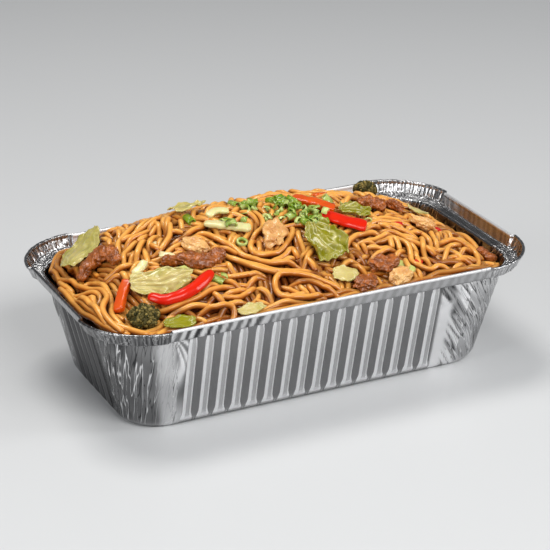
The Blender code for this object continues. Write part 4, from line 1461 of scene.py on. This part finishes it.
# Leaves: number, x, y, yaw, length, width, height of the folds, lift, roll, and then the looks:
# greenness, ruffle of the edge, fan of folds, curl of the sides in radians.
LEAVES = (
    (1, -86, 23, 40, 29, 15, 1.0, 0.9, 12, 0.42, 0.8, 0.5, 0.35),
    (2, -68.5, -26.2, -13, 26, 11, 1.2, 0.9, 18, 0.10, 1.3, 1.3, 0.9),
    (3, -69, -48, 0, 14, 6, 0.5, 0.3, 0, 1.0, 0.3, 0.1, 0.8),
    (4, -35.5, -48.7, 2, 12, 5, 0.4, 0.2, 0, 0.08, 0.4, 0.4, 0.4),
    (5, -35, 20.5, 22, 20, 9, 0.8, 0.3, 0, 0.25, 0.8, 0.8, 0.6),
    (6, 12, -24.8, -78, 22, 17, 2.0, 1.7, 0, 0.95, 1.8, 3.2, 1.5),
    (7, 38, -4.3, -14, 15, 7, 0.9, 0.5, 10, 1.05, 1.3, 1.8, 1.0),
    (8, 77, 5.5, -5, 11, 7, 0.6, 0.3, 0, 0.05, 0.4, 0.5, 0.5),
    (9, 13.7, -41.6, -20, 11, 7.5, 0.6, 0.3, 0, 0.05, 0.5, 0.5, 0.5),
)
SMALL_LEAF = 12.5           # shorter leaves get fewer points and folds
FLAT_SHARE = 0.45           # the middle of a leaf, before its sides start to curl
# Strips: name, places as (x, y, lift), width, height, twist in degrees.
STEMS = (
    ("cabbage_stem_1", ((-35, 1.5, 0.2), (-26, -4.6, 0.4), (-16.5, -7.8, 0.2)), 5.0, 2.6, 20),
    ("cabbage_stem_2", ((-76.5, -16.3, 0.1), (-73, -14.3, 0.4), (-69.5, -12, 0.2)), 4.0, 2.4, 0),
    ("onion_curl", ((-31, 6.8, 0.1), (-26.5, 8.8, 0.5), (-20.5, 7.2, 0.1)), 4.0, 2.0, 0),
)
BEEF_STRIPS = (
    ("beef_1", ((-94, 4, 0.0), (-90, 7, 0.9), (-84.5, 7.4, 1.5), (-80.5, 2.6, 1.1), (-79.5, -3.5, 0.0)),
     6.5, 4.5, 30),
    ("beef_2", ((-63.4, -15, 0.0), (-53.4, -18, 0.7), (-44.4, -21.7, 0.4), (-35.2, -19.7, 0.7)),
     6.5, 4.6, 120),
    ("beef_3", ((43.5, 3.8, -0.3), (50, 2.6, 0.3), (57, 1.2, -0.3)), 6.5, 4.2, 40),
    ("beef_7", ((94, -23, 0.6), (96, -28, 0.9), (95, -34, 0.6)), 5.0, 3.8, 20),
)
PEPPERS = (
    ("red_pepper_1", ((-76.5, -31.8, 1.0), (-70, -37, 1.2), (-58, -36, 1.2), (-45.5, -29.5, 1.0)),
     5.8, 4.8, 30),
    ("red_pepper_2", ((20, -6.5, 0.6), (28, -13, 1.0), (36.7, -18, 0.6)), 7.5, 4.0, 0),
)
CARROTS = (
    ("carrot_1", ((-80.7, -18.3, 0.4), (-85.5, -23.8, 0.6), (-90.5, -32, 0.4)), 4.6, 3.2, 20),
    ("carrot_2", ((13, 9.5, 0.4), (21, 1.5, 0.8), (27.6, -4.0, 0.4)), 5.5, 3.2, 0),
)
# Chunks: name, x, y, yaw, lift, length, width, height.
BEEF_CHUNKS = (
    ("beef_4", 65, 5.8, -20, -0.3, 8.0, 5.5, 4.5),
    ("beef_5", 34.6, -39.4, 8, 0.3, 13.5, 7.5, 5.6),
    ("beef_6", 21.3, -47.3, 8, 0.3, 11.0, 7.0, 5.0),
)
CHICKEN_CHUNKS = (
    ("chicken_1", -45.9, -12, -60, 0.3, 11.5, 7.0, 5.0),
    ("chicken_2", -9, -16.0, 60, 1.3, 14.0, 9.5, 7.6),
    ("chicken_3", 71, -11, -20, 0.4, 11.0, 6.5, 5.0),
    ("chicken_4", 38.9, -46.4, 20, 0.2, 11.0, 7.5, 5.0),
)
# Florets: name, x, y, radius, lift, roll; and the dome's profile as reach and level.
FLORETS = (("broccoli_1", -82.3, -40.3, 6.7, -1.6, -15), ("broccoli_2", 65, 35, 5.8, 0.6, 0))
FLORET_PROFILE = ((0.30, -0.75), (0.34, -0.35), (0.72, -0.12), (0.93, 0.10), (0.95, 0.30), (0.80, 0.52),
                  (0.58, 0.68), (0.30, 0.78), (0.10, 0.82))


def fan_folds(u, v, count, seed):
    """Folds that spread from a leaf's stalk end, about -1 to 1, and how near a rib is."""
    wave = math.atan2(v * 0.8, u + 1.5) * count + 0.9 * noise_at(u * 1.3, v * 1.3, seed)
    away = math.remainder(wave, 1.0)
    return abs(away) * 4 - 1, math.exp(-(away / 0.07) ** 2)


def curled(v, half, curl):
    """Place across a leaf and rise above it when its sides curl up."""
    spare = max(abs(v) - FLAT_SHARE, 0.0) * half
    turn = curl * spare / ((1 - FLAT_SHARE) * half)
    if turn < 0.01:
        return v * half, 0.0
    radius = spare / turn
    return math.copysign(FLAT_SHARE * half + radius * math.sin(turn), v), radius * (1 - math.cos(turn))


def leaf_piece(spec, mat):
    """Crumpled piece of leaf with fanned folds, pale ribs and a torn, curled edge; painted shade keeps the folds'
    valleys green and painted highlight pales their ridges and the creases' crests.
    """
    number, x, y, yaw, length, width, folds, lift, roll, green, ruffle, fanned, curl = spec
    columns, rows, ribs = (74, 56, 3.2) if length > SMALL_LEAF else (46, 34, 2.2)
    place = heap_frame(x, y, yaw, lift, roll)
    seed_x, seed_y = x * 0.3, y * 0.3
    points, greens_and_fold_shade, veins_and_crest_light = [], [], []
    for v in (2 * i / (rows - 1) - 1 for i in range(rows)):
        for u in (2 * j / (columns - 1) - 1 for j in range(columns)):
            round_u, round_v = u * math.sqrt(1 - 0.36 * v * v), v * math.sqrt(1 - 0.36 * u * u)
            edge = max(abs(u), abs(v))
            torn = 1.06 + 0.19 * edge ** 3 * noise_at(round_u * 2.2, round_v * 2.2, x)
            torn += 0.025 * edge ** 5 * noise_at(round_u * 8, round_v * 8, y)
            narrow = 1 - 0.12 * u ** 2 + 0.10 * math.sin(3 * u + x)
            fold, rib = fan_folds(u, v, ribs, seed_x)
            bend = curl * (0.7 + 0.3 * math.sin(2 * u + y))
            across, rise = curled(round_v, width / 2 * narrow * torn * 1.04, bend)
            along, lifted = curled(round_u, length / 2 * torn, curl * 0.55)
            wave = math.sin(2.6 * v + 1.3 * u + x) + 0.5 * math.sin(4.1 * u + y)
            frill = ruffle * edge ** 2 * noise_at(round_u * 4.2, round_v * 4.2, seed_y)
            crease = 1 - 2.4 * abs(noise_at(u * length / 13, v * width / 10, seed_x))
            fine = noise_at(u * length / 5, v * width / 4, seed_y)
            z = 0.6 * folds * wave + fanned * 0.45 * fold * (0.2 + 0.8 * (u + 1) / 2) + frill
            z += ruffle * (0.45 * crease + 0.22 * fine) + 0.2 * rib + rise + lifted - 0.35 * curl
            points.append(place @ Vector((along, across, z)))
            shade = green * 1.15 + 0.30 * (edge - 0.55) + 0.5 * noise_at(u * 1.6, v * 1.6, x)
            # Painted light and shade: the folds' ridges lose green and their valleys keep it.
            greens_and_fold_shade.append(unit(shade - 0.5 * max(0.0, -u - 0.35) - 0.22 * min(fanned, 1.5) * fold))
            # Pale along the ribs, with painted highlight on the creases' crests.
            pale = rib * (1.0 - 0.6 * (u + 1) / 2) + 0.2 * max(crease, 0.0) ** 4
            veins_and_crest_light.append(unit(pale * min(fanned, 1.0)))
    piece = make_piece(f"leaf_{number}", points, lattice_faces(rows, columns, wrap=False),
                       {"green": greens_and_fold_shade, "vein": veins_and_crest_light})
    thicken(piece, 0.45)
    finish_piece(piece, mat, "cabbage", f"cabbage_leaf_{number}")


def smooth_path(points, count):
    """Points spaced along a smooth curve through the given ones."""
    padded = [points[0] * 2 - points[1], *points, points[-1] * 2 - points[-2]]
    spans = len(points) - 1
    path = []
    for index in range(count):
        place = spans * index / (count - 1)
        span = min(int(place), spans - 1)
        path.append(spline(*padded[span:span + 4], place - span))
    return path


def oval(count, square=1.0):
    """Points round an oval of unit half-widths; square below 1 makes it boxier."""
    angles = [TURN * (i + 0.5) / count for i in range(count)]
    return [tuple(math.copysign(abs(c) ** square, c) for c in (math.cos(a), math.sin(a))) for a in angles]


def crescent(count, hollow):
    """Section of a curved slice of wall: bulging above, hollow below."""
    half = count // 2
    arc = [(math.cos(math.pi * i / half), math.sin(math.pi * i / half)) for i in range(half + 1)]
    return arc + [(0.86 * c, hollow * s - 0.3) for c, s in arc[half - 1:0:-1]]


def strip_piece(spec, ending, mat, slot, section, relief, stations=44, tip=(0.45, 4.0)):
    """Strip lofted along a smooth path on the heap, with a relief over its surface."""
    name, places, width, height, twist = spec
    path = smooth_path([heap_point(*place) for place in places], stations)
    around = len(section)
    points = []
    for index, centre in enumerate(path):
        share = index / (stations - 1)
        ahead = (path[min(index + 1, stations - 1)] - path[max(index - 1, 0)]).normalized()
        side = heap_normal(centre.x, centre.y).cross(ahead).normalized()
        up = ahead.cross(side)
        taper = tip[0] + (1 - tip[0]) * math.sqrt(1 - abs(2 * share - 1) ** tip[1])
        turn = math.radians(twist) * (share - 0.5)
        for k, (across, above) in enumerate(section):
            u = across * math.cos(turn) - above * math.sin(turn) * height / width
            v = above * math.cos(turn) + across * math.sin(turn) * width / height
            out = side * (u * width / 2 * taper) + up * (v * height / 2 * taper)
            points.append(centre + out * (1 + relief(index, k / around, centre + out)))
    faces = lattice_faces(stations, around)
    first, last, end = len(points), len(points) + 1, (stations - 1) * around
    points += [path[0] - (path[1] - path[0]) * 0.6, path[-1] + (path[-1] - path[-2]) * 0.6]
    for k in range(around):
        faces += [(first, (k + 1) % around, k), (last, end + k, end + (k + 1) % around)]
    piece = turn_out(make_piece(name + ending, points, faces))
    finish_piece(piece, mat, slot, name)


def fibres(strength, seed):
    """Relief of cooked meat: bundles of fibres along the strip, folds and a torn surface."""
    def relief(index, turn, point):
        folds = 0.32 * octaves(point, 3.4, 3, seed)
        strands = 1 - 2.2 * abs(noise_at(index * 0.05, math.sin(TURN * turn) * 2.6,
                                         math.cos(TURN * turn) * 2.6 + seed))
        torn = 1 - 2.2 * abs(noise.noise(point / 1.5 + Vector((seed, 0, 0))))
        return strength * (folds + 0.12 * strands + 0.07 * torn + 0.03 * octaves(point, 0.7, 2, seed + 4))
    return relief


def plain_relief(strength, size, seed):
    """Relief of a cut vegetable."""
    return lambda index, turn, point: strength * octaves(point, size, 2, seed)


def chunk_piece(spec, mat, slot, rough, seed):
    """Lump of meat: a stretched ball with torn folds."""
    name, x, y, yaw, lift, *sizes = spec

    def swell(base):
        out = 1 + 0.4 * noise.noise(base * 1.7 + Vector((x, y, 0.0)))
        out += rough * (0.16 * (1 - 2.2 * abs(noise.noise(base * 2.3 + Vector((seed, 0, 0))))))
        return out + rough * 0.07 * octaves(base, 0.35, 3, seed)

    finish_piece(lump_piece(name + "_cut", heap_frame(x, y, yaw, lift), sizes, swell, 6), mat, slot, name)


def bud_tree():
    """Geometry Nodes that cover a dome with small round buds."""
    return shape_tree(
        "broccoli buds", (("Density", "Float", 1.0), ("Bud Size", "Float", 0.5 * MM), ("Seed", "Int", 1)),
        (("spread", "DistributePointsOnFaces"), ("bud", "MeshIcoSphere", {"Subdivisions": 2}),
         ("size", "FunctionNodeRandomValue", {"data_type": "FLOAT", 2: 0.6, 3: 1.3}),
         ("tone", "FunctionNodeRandomValue", {"data_type": "FLOAT"}), ("place", "InstanceOnPoints"),
         ("store", "StoreNamedAttribute", {"data_type": "FLOAT", "domain": "INSTANCE", "Name": "tone"}),
         ("sharper", "ShaderNodeMath", {"operation": "POWER", 1: 2.2}),
         ("single", "RealizeInstances"), ("join", "JoinGeometry"), ("smooth", "SetShadeSmooth")),
        """in.Geometry > spread.Mesh
        in.Density > spread.Density
        in.Seed > spread.Seed
        in.Bud Size > bud.Radius
        in.Seed > tone.Seed
        spread.Points > place.Points
        bud.Mesh > place.Instance
        size.1 > place.Scale
        place.Instances > store.Geometry
        tone.1 > sharper.0
        sharper.0 > store.Value
        store.Geometry > single.Geometry
        single.Geometry > join.Geometry
        in.Geometry > join.Geometry
        join.Geometry > smooth.Geometry""", "smooth.Geometry")


def floret_piece(spec, tree, mat, seed):
    """Broccoli floret: lobed dome covered with buds, on its stalk."""
    name, x, y, radius, lift, roll = spec
    around = 60
    place = heap_frame(x, y, 0, lift, roll)
    rows = []
    for reach, level in FLORET_PROFILE:
        row = []
        for a in (TURN * i / around for i in range(around)):
            lobe = (0.13 * math.cos(5 * a) + 0.05 * math.cos(11 * a + level * 4)) if reach > 0.4 else 0.0
            hump = 0.08 * math.cos(7 * a + 5 * reach) if level > 0.2 else 0.0
            wide = radius * reach * (1 + lobe)
            row.append(place @ Vector((wide * math.cos(a), wide * math.sin(a), radius * (level + hump))))
        rows.append(row)
    piece = capped_piece(name + "_floret", rows, {"tone": [0.2] * (len(rows) * around)})
    grow(piece, tree, Density=1.1e6, Bud_Size=0.62 * MM, Seed=seed, Material=mat)
    finish_piece(piece, mat, "broccoli", name)


def cabbage_material(settings):
    """Translucent leaf: pale along the ribs and, as painted highlight, on the crests of the creases; greener
    towards the edge and, as painted shade, in the valleys of the folds.
    """
    mat, shader = principled("cabbage", roughness=0.3, coat=0.55, coat_roughness=0.07, specular=0.25,
                             subsurface=0.2, scatter=(0.7, 0.9, 0.2))
    mottle = mottled(mat, settings.cabbage, scaled(settings.cabbage, (0.78, 0.72, 0.45)), 0.35, 160.0, 1.6)
    # The green attribute carries painted shade in the folds' valleys.
    leafy = mixed(mat, attribute_value(mat, "green"), mottle, settings.cabbage_green)
    veined_and_crest_lit = mixed(mat, attribute_value(mat, "vein"), leafy, (0.74, 0.68, 0.34))
    return dress(mat, shader, veined_and_crest_lit, 700.0, 0.25)


class MEAL_OT_cabbage(bpy.types.Operator):
    """Lay the crumpled cabbage leaves, the cabbage stems and the curl of onion"""
    bl_idname = "meal.cabbage"
    bl_label = "Cabbage"

    def execute(self, context):
        mat = cabbage_material(context.scene.meal_toppings)
        for spec in LEAVES:
            leaf_piece(spec, mat)
        stem = food_material("cabbage stem", (0.74, 0.66, 0.36), (0.60, 0.60, 0.22), patch=220.0,
                             roughness=0.28, coat=0.4, subsurface=0.3)
        for index, spec in enumerate(STEMS):
            slot = "onion" if spec[0] == "onion_curl" else "cabbage"
            strip_piece(spec, "_slice", stem, slot, oval(20, 0.7), plain_relief(0.14, 2.2, index),
                        tip=(0.6, 6.0))
        return {"FINISHED"}


class MEAL_OT_meat(bpy.types.Operator):
    """Lay the strips and chunks of browned beef and the chunks of chicken"""
    bl_idname = "meal.meat"
    bl_label = "Beef and chicken"

    def execute(self, context):
        settings = context.scene.meal_toppings
        beef = food_material("beef", settings.beef, scaled(settings.beef, (2.5, 2.7, 3.2)), patch=380.0,
                             contrast=3.0, shift=0.25, grain=900.0, depth=0.9, roughness=0.36, coat=0.45,
                             coat_roughness=0.18, specular=0.35)
        chicken = food_material("chicken", settings.chicken, scaled(settings.chicken, (0.5, 0.24, 0.08)),
                                patch=150.0, contrast=2.6, shift=0.24, depth=0.6, roughness=0.34, coat=0.45,
                                coat_roughness=0.16, subsurface=0.15, scatter=(1.0, 0.6, 0.3))
        for index, spec in enumerate(BEEF_STRIPS):
            strip_piece(spec, "_strip", beef, "beef", oval(48), fibres(1.5, index * 3.0), stations=110)
        for index, spec in enumerate(BEEF_CHUNKS):
            chunk_piece(spec, beef, "beef", 1.3, index * 5.0)
        for index, spec in enumerate(CHICKEN_CHUNKS):
            chunk_piece(spec, chicken, "chicken", 0.9, index * 5.0 + 2.0)
        return {"FINISHED"}


class MEAL_OT_vegetables(bpy.types.Operator):
    """Lay the strips of pepper and carrot and the broccoli florets"""
    bl_idname = "meal.vegetables"
    bl_label = "Pepper, carrot and broccoli"

    def execute(self, context):
        settings = context.scene.meal_toppings
        pepper = food_material("red pepper", settings.pepper, scaled(settings.pepper, (1.2, 3.0, 2.0)),
                               patch=90.0, contrast=1.2, shift=0.2, grain=500.0, depth=0.08, roughness=0.3,
                               coat=0.3, specular=0.15, subsurface=0.1)
        carrot = food_material("carrot", settings.carrot, scaled(settings.carrot, (0.85, 0.62, 0.6)),
                               contrast=1.6, shift=0.3, roughness=0.3, coat=0.4, coat_roughness=0.15,
                               subsurface=0.15)
        for index, (spec, tip) in enumerate(zip(PEPPERS, ((0.5, 5.0), (0.85, 14.0)))):
            strip_piece(spec, "_slice", pepper, "red_pepper", crescent(28, 0.1),
                        plain_relief(0.10, 5.0, index), tip=tip)
        for index, spec in enumerate(CARROTS):
            strip_piece(spec, "_slice", carrot, "carrot", oval(24, 0.45), plain_relief(0.12, 3.0, index),
                        tip=(0.75, 10.0))
        mat, shader = principled("broccoli", roughness=0.5, specular=0.2)
        buds = mixed(mat, attribute_value(mat, "tone"), settings.broccoli, (0.30, 0.22, 0.06))
        fill_socket(mat, shader.inputs["Base Color"], buds)
        for index, spec in enumerate(FLORETS):
            floret_piece(spec, bud_tree(), mat, index + 3)
        return {"FINISHED"}


# ---- spring onion and small bits

# The pile's middle, and the two half-widths it is spread over.
PILE_MIDDLE, PILE_ALONG, PILE_ACROSS = Vector((4.5, 1.5)), Vector((16.5, -12.5)), Vector((4.0, 8.5))
PILE_COUNT, PILE_SEED = 72, 12
BIT_RADIUS, BIT_RISE, MOST_RISE = math.sqrt(5), 1.1, 2.6   # how bits rest on each other
# Bits lying by themselves: x, y, shape, size.
LOOSE_ONION = (
    (-39.6, 8.2, "tube", 1.5), (-38.2, 6.0, "chip", 1.2), (-24.6, 3.2, "tube", 1.2),
    (-25.8, -6.9, "split", 1.5), (-27.5, -6.0, "chip", 1.1), (-24.0, -14.5, "ring", 1.2),
    (-43.5, -31.3, "tube", 1.6), (-42.3, -32.5, "chip", 1.2), (29.4, 7.6, "split", 1.9),
    (41.3, -11.4, "ring", 0.9), (-15, 13, "split", 1.2), (-9, 17.5, "tube", 1.1),
    (-11.5, 8.0, "split", 1.5), (-14.0, 4.5, "chip", 1.0), (-16.5, -2.0, "chip", 0.9),
    (21.0, 8.5, "tube", 1.4),
)
# Shapes of spring onion: name, radius, length, thickness, turn in degrees, paleness, share of the pile.
ONION_SHAPES = (
    ("tube", 1.35, 3.8, 0.5, 350, 0.10, 0.30),
    ("split", 1.6, 3.2, 0.5, 215, 0.35, 0.34),
    ("chip", 2.2, 2.6, 0.55, 95, 0.30, 0.20),
    ("ring", 1.7, 1.5, 0.6, 350, 0.45, 0.08),
    ("slice", 1.5, 2.4, 1.1, 200, 1.0, 0.08),
)
# Small bits: name, slot, x, y, yaw, lift, length, width, height.
SMALL_BITS = (
    ("leaf_bit_1", "cabbage", -58, -24, 10, 0.9, 9.0, 4.5, 1.6),
    ("onion_bit_1", "onion", -60, -14, -35, 0.6, 7.0, 4.0, 2.2),
    ("onion_bit_2", "onion", -60, 0, 10, 0.4, 6.0, 4.0, 2.0),
    ("chicken_bit_1", "chicken", 67, -41, 10, 0.4, 8.0, 5.0, 3.0),
    ("cabbage_bit_1", "cabbage", 44, -38, 60, 0.5, 6.0, 3.0, 1.8),
    ("cabbage_bit_2", "cabbage", 46, -44.5, 50, 0.5, 4.5, 3.0, 1.8),
    ("cabbage_bit_3", "cabbage", 10, -4, 70, 0.8, 8.0, 4.5, 1.8),
    ("pepper_bit_1", "red_pepper", 57, -12, 20, 0.5, 6.0, 3.0, 2.0),
    ("pepper_bit_2", "red_pepper", 79, -10, 10, 0.3, 4.5, 3.0, 2.0),
    ("pepper_bit_3", "red_pepper", 52, -40, 0, -0.6, 4.0, 3.0, 2.0),
    ("carrot_bit_1", "carrot", 31, 17, 10, 0.6, 9.0, 4.0, 2.4),
)


def ring_tree():
    """Geometry Nodes that place cut bits of spring onion on points."""
    labels = [(label, "InputNamedAttribute", {"data_type": "FLOAT_VECTOR", "Name": label})
              for label in ("turn", "size")]
    return shape_tree(
        "spring onion bits", (("Radius", "Float", 1.7 * MM), ("Turn", "Float", 6.0),
                              ("Height", "Float", 3.0 * MM), ("Wall", "Float", 0.6 * MM)),
        (("round", "CurveArc", {"Resolution": 13}), ("section", "CurvePrimitiveQuadrilateral"),
         ("ring", "CurveToMesh", {"Fill Caps": True}), ("place", "InstanceOnPoints"), *labels),
        """in.Turn > round.Sweep Angle
        in.Radius > round.Radius
        in.Wall > section.Width
        in.Height > section.Height
        round.Curve > ring.Curve
        section.Curve > ring.Profile Curve
        in.Geometry > place.Points
        ring.Mesh > place.Instance
        turn.Attribute > place.Rotation
        size.Attribute > place.Scale""", "place.Instances")


def food_surface():
    """Tree of the pieces already laid, to find the top of the food."""
    points, faces = [], []
    for obj in bpy.data.objects:
        if obj.type != "MESH" or obj.name in frame["nodes"] or obj.name.startswith("foil"):
            continue
        first = len(points)
        points += [tuple(place) for place in read(obj.data.vertices, "co", 3) / MM]
        faces += [tuple(first + i for i in polygon.vertices) for polygon in obj.data.polygons]
    return BVHTree.FromPolygons(points, faces)


def drop(surface, x, y):
    """Height of the food's top at a place."""
    hit = surface.ray_cast(Vector((x, y, 120.0)), Vector((0, 0, -1)))[0]
    if hit is None:
        raise RuntimeError(f"nothing lies under ({x}, {y})")
    return hit.z


def plan_onion(rng):
    """Places of the bits of spring onion, as x, y, shape and size."""
    names = [shape[0] for shape in ONION_SHAPES]
    shares = np.array([shape[-1] for shape in ONION_SHAPES])
    bits = []
    for _ in range(PILE_COUNT):
        reach, angle = rng.uniform(0.05, 1.0) ** 0.6, rng.uniform(0, TURN)
        x, y = PILE_MIDDLE + reach * math.cos(angle) * PILE_ALONG + reach * math.sin(angle) * PILE_ACROSS
        bits.append((x, y, names[rng.choice(len(names), p=shares / shares.sum())], rng.uniform(0.8, 1.25)))
    return bits + list(LOOSE_ONION)


def onion_piece(shape, laid, rng, tree, mat):
    """The bits of one shape of spring onion, each lying or standing on the food."""
    name, radius, height, wall, turn, pale, _ = shape
    places, turns, sizes = [], [], []
    for x, y, z, size in laid:
        lying = name in ("tube", "slice") or rng.uniform() < 0.5
        tilt = rng.uniform(1.1, 1.7) if lying else rng.uniform(0.1, 0.9)
        places.append((x, y, z + size * (radius * 0.55 if lying else height * 0.35)))
        turns.append((tilt, rng.uniform(-0.4, 0.4), rng.uniform(0, TURN)))
        sizes.append([size * rng.uniform(*span) for span in ((0.8, 1.1), (0.55, 0.95), (0.7, 1.25))])
    piece = make_piece("onion_" + name, places, [], {"turn": turns, "size": sizes})
    grow(piece, tree, Radius=radius * MM, Height=height * MM, Wall=wall * MM, Turn=math.radians(turn),
         Material=mat)
    write_attribute(piece.data, "pale", [unit(pale + 0.9 * noise.noise(vertex.co / MM / 3.0))
                                         for vertex in piece.data.vertices])
    finish_piece(piece, mat, "spring_onion")


def lay_bits(surface, settings):
    """Lay the small bits on the food."""
    finishes = {"cabbage": ((0.60, 0.60, 0.22), (0.42, 0.46, 0.09)),
                "onion": ((0.78, 0.68, 0.38), (0.66, 0.55, 0.25)),
                "chicken": (settings.chicken, (0.45, 0.17, 0.05)),
                "red_pepper": (settings.pepper, (0.45, 0.01, 0.005)),
                "carrot": (settings.carrot, (0.60, 0.12, 0.01))}
    mats = {slot: food_material(slot + " bit", *colours, patch=250.0, roughness=0.28, coat=0.4,
                                subsurface=0.15) for slot, colours in finishes.items()}
    for index, (name, slot, x, y, yaw, lift, *sizes) in enumerate(SMALL_BITS):
        place = heap_frame(x, y, yaw, 0.0)
        place.translation.z = drop(surface, x, y) + lift - sizes[2] * 0.25

        def swell(base, seed=index * 3.0):
            return 1 + 0.25 * octaves(base, 0.9, 3, seed)

        finish_piece(lump_piece(name, place, sizes, swell, 4, 0.75), mats[slot], slot)


class MEAL_OT_spring_onion(bpy.types.Operator):
    """Scatter the cut spring onion and the small bits of vegetable and meat"""
    bl_idname = "meal.spring_onion"
    bl_label = "Spring onion and small bits"

    def execute(self, context):
        settings = context.scene.meal_toppings
        rng = np.random.default_rng(PILE_SEED)
        surface = food_surface()
        mat = food_material("spring onion", settings.onion, scaled(settings.onion, (2.4, 1.9, 3.0)),
                            patch=300.0, contrast=1.6, roughness=0.3, coat=0.4, subsurface=0.2,
                            mask="pale", mask_colour=(0.62, 0.70, 0.26))
        laid = {shape[0]: [] for shape in ONION_SHAPES}
        rest = []
        for x, y, shape, size in plan_onion(rng):
            z = drop(surface, x, y)
            under = [top for px, py, top in rest if math.hypot(px - x, py - y) < BIT_RADIUS]
            z = min(max([z, *under]), z + MOST_RISE)
            rest.append((x, y, z + BIT_RISE))
            laid[shape].append((x, y, z, size))
        for shape in ONION_SHAPES:
            onion_piece(shape, laid[shape[0]], rng, ring_tree(), mat)
        lay_bits(surface, settings)
        return {"FINISHED"}


# ---- stage

FLOOR_REACH = 6.0
SKY, SKY_STRENGTH = (0.62, 0.64, 0.67, 1.0), 0.26
FOCAL_LENGTH, SENSOR_WIDTH = 132.9, 36.0
# Softboxes: name, place, aimed at, size, power, colour.
SOFTBOXES = (
    ("overhead", (-0.15, 0.25, 1.10), (0.0, 0.0, 0.05), (0.5, 0.4), 7.0, (1.0, 0.98, 0.95)),
    ("front", (0.05, -0.85, 0.80), (0.0, -0.05, 0.0), (0.7, 0.4), 7.6, (1.0, 0.99, 0.97)),
    ("left", (-1.10, -0.30, 0.50), (0.0, 0.0, 0.04), (0.4, 0.7), 6.0, (1.0, 1.0, 1.0)),
    ("right", (0.95, -0.55, 0.45), (0.0, 0.0, 0.03), (0.3, 0.7), 6.0, (1.0, 1.0, 1.0)),
)


def aim_at(obj, place, target):
    """Put a lamp or a camera in a place and turn it to its target."""
    obj.location = place
    obj.rotation_euler = (Vector(target) - Vector(place)).to_track_quat("-Z", "Y").to_euler()
    return obj


class MEAL_OT_stage(bpy.types.Operator):
    """Set up the pale floor, the soft studio light and the camera"""
    bl_idname = "meal.stage"
    bl_label = "Stage"

    def execute(self, context):
        scene = context.scene
        settings = scene.meal_stage
        mesh = bpy.data.meshes.new("floor")
        corners = [(x * FLOOR_REACH, y * FLOOR_REACH, 0) for x, y in ((-1, -1), (1, -1), (1, 1), (-1, 1))]
        mesh.from_pydata(corners, [], [(0, 1, 2, 3)])
        floor = link(bpy.data.objects.new("floor", mesh))
        mat, shader = principled("floor", roughness=0.42, specular=0.4)
        mottle = mottled(mat, settings.floor, scaled(settings.floor, (0.97, 0.97, 0.97)), 0.5, 2.0, 1.0)
        fill_socket(mat, shader.inputs["Base Color"], mottle)
        mesh.materials.append(mat)
        for name, place, target, extent, power, colour in SOFTBOXES:
            lamp = bpy.data.lights.new(name, "AREA")
            lamp.shape = "RECTANGLE"
            lamp.size, lamp.size_y = extent
            lamp.energy, lamp.color = power, colour
            aim_at(link(bpy.data.objects.new(name, lamp)), place, target)
        world = scene.world = bpy.data.worlds.new("studio")
        world.use_nodes = True
        sky = world.node_tree.nodes["Background"].inputs
        sky["Color"].default_value, sky["Strength"].default_value = SKY, SKY_STRENGTH
        lens = bpy.data.cameras.new("camera")
        lens.lens, lens.sensor_width = FOCAL_LENGTH, SENSOR_WIDTH
        camera = scene.camera = link(bpy.data.objects.new("camera", lens))
        flat = math.cos(settings.elevation)
        away = Vector((flat * math.sin(settings.azimuth), -flat * math.cos(settings.azimuth),
                       math.sin(settings.elevation)))
        aim_at(camera, Vector(settings.target) + settings.distance * away, settings.target)
        scene.view_settings.view_transform = "Standard"
        return {"FINISHED"}


class MEAL_PT_panel(bpy.types.Panel):
    """Lists the steps that build the tray meal"""
    bl_label = "Foil tray meal"
    bl_idname = "MEAL_PT_panel"
    bl_space_type = "VIEW_3D"
    bl_region_type = "UI"
    bl_category = "Tray meal"

    def draw(self, context):
        for operator in OPERATORS:
            self.layout.operator(operator.bl_idname)
        for label in SETTINGS:
            group = getattr(context.scene, label)
            box = self.layout.box()
            for key in group.bl_rna.properties.keys():
                if key not in ("rna_type", "name"):
                    box.prop(group, key)


OPERATORS = (MEAL_OT_foil_tray, MEAL_OT_noodles, MEAL_OT_cabbage, MEAL_OT_meat, MEAL_OT_vegetables,
             MEAL_OT_spring_onion, MEAL_OT_stage)
SETTINGS = {"meal_foil": FoilSettings, "meal_noodles": NoodleSettings, "meal_toppings": ToppingSettings,
            "meal_stage": StageSettings}


def register():
    """Add the settings, the operators and the panel to Blender."""
    for label, group in SETTINGS.items():
        bpy.utils.register_class(group)
        setattr(bpy.types.Scene, label, PointerProperty(type=group))
    for cls in (*OPERATORS, MEAL_PT_panel):
        bpy.utils.register_class(cls)


def unregister():
    """Take them out again."""
    for cls in (MEAL_PT_panel, *reversed(OPERATORS)):
        bpy.utils.unregister_class(cls)
    for label, group in reversed(SETTINGS.items()):
        delattr(bpy.types.Scene, label)
        bpy.utils.unregister_class(group)


def main():
    """Build every piece in order."""
    register()
    bpy.ops.meal.foil_tray()
    bpy.ops.meal.noodles()
    bpy.ops.meal.cabbage()
    bpy.ops.meal.meat()
    bpy.ops.meal.vegetables()
    bpy.ops.meal.spring_onion()
    bpy.ops.meal.stage()


if __name__ == "__main__":
    main()
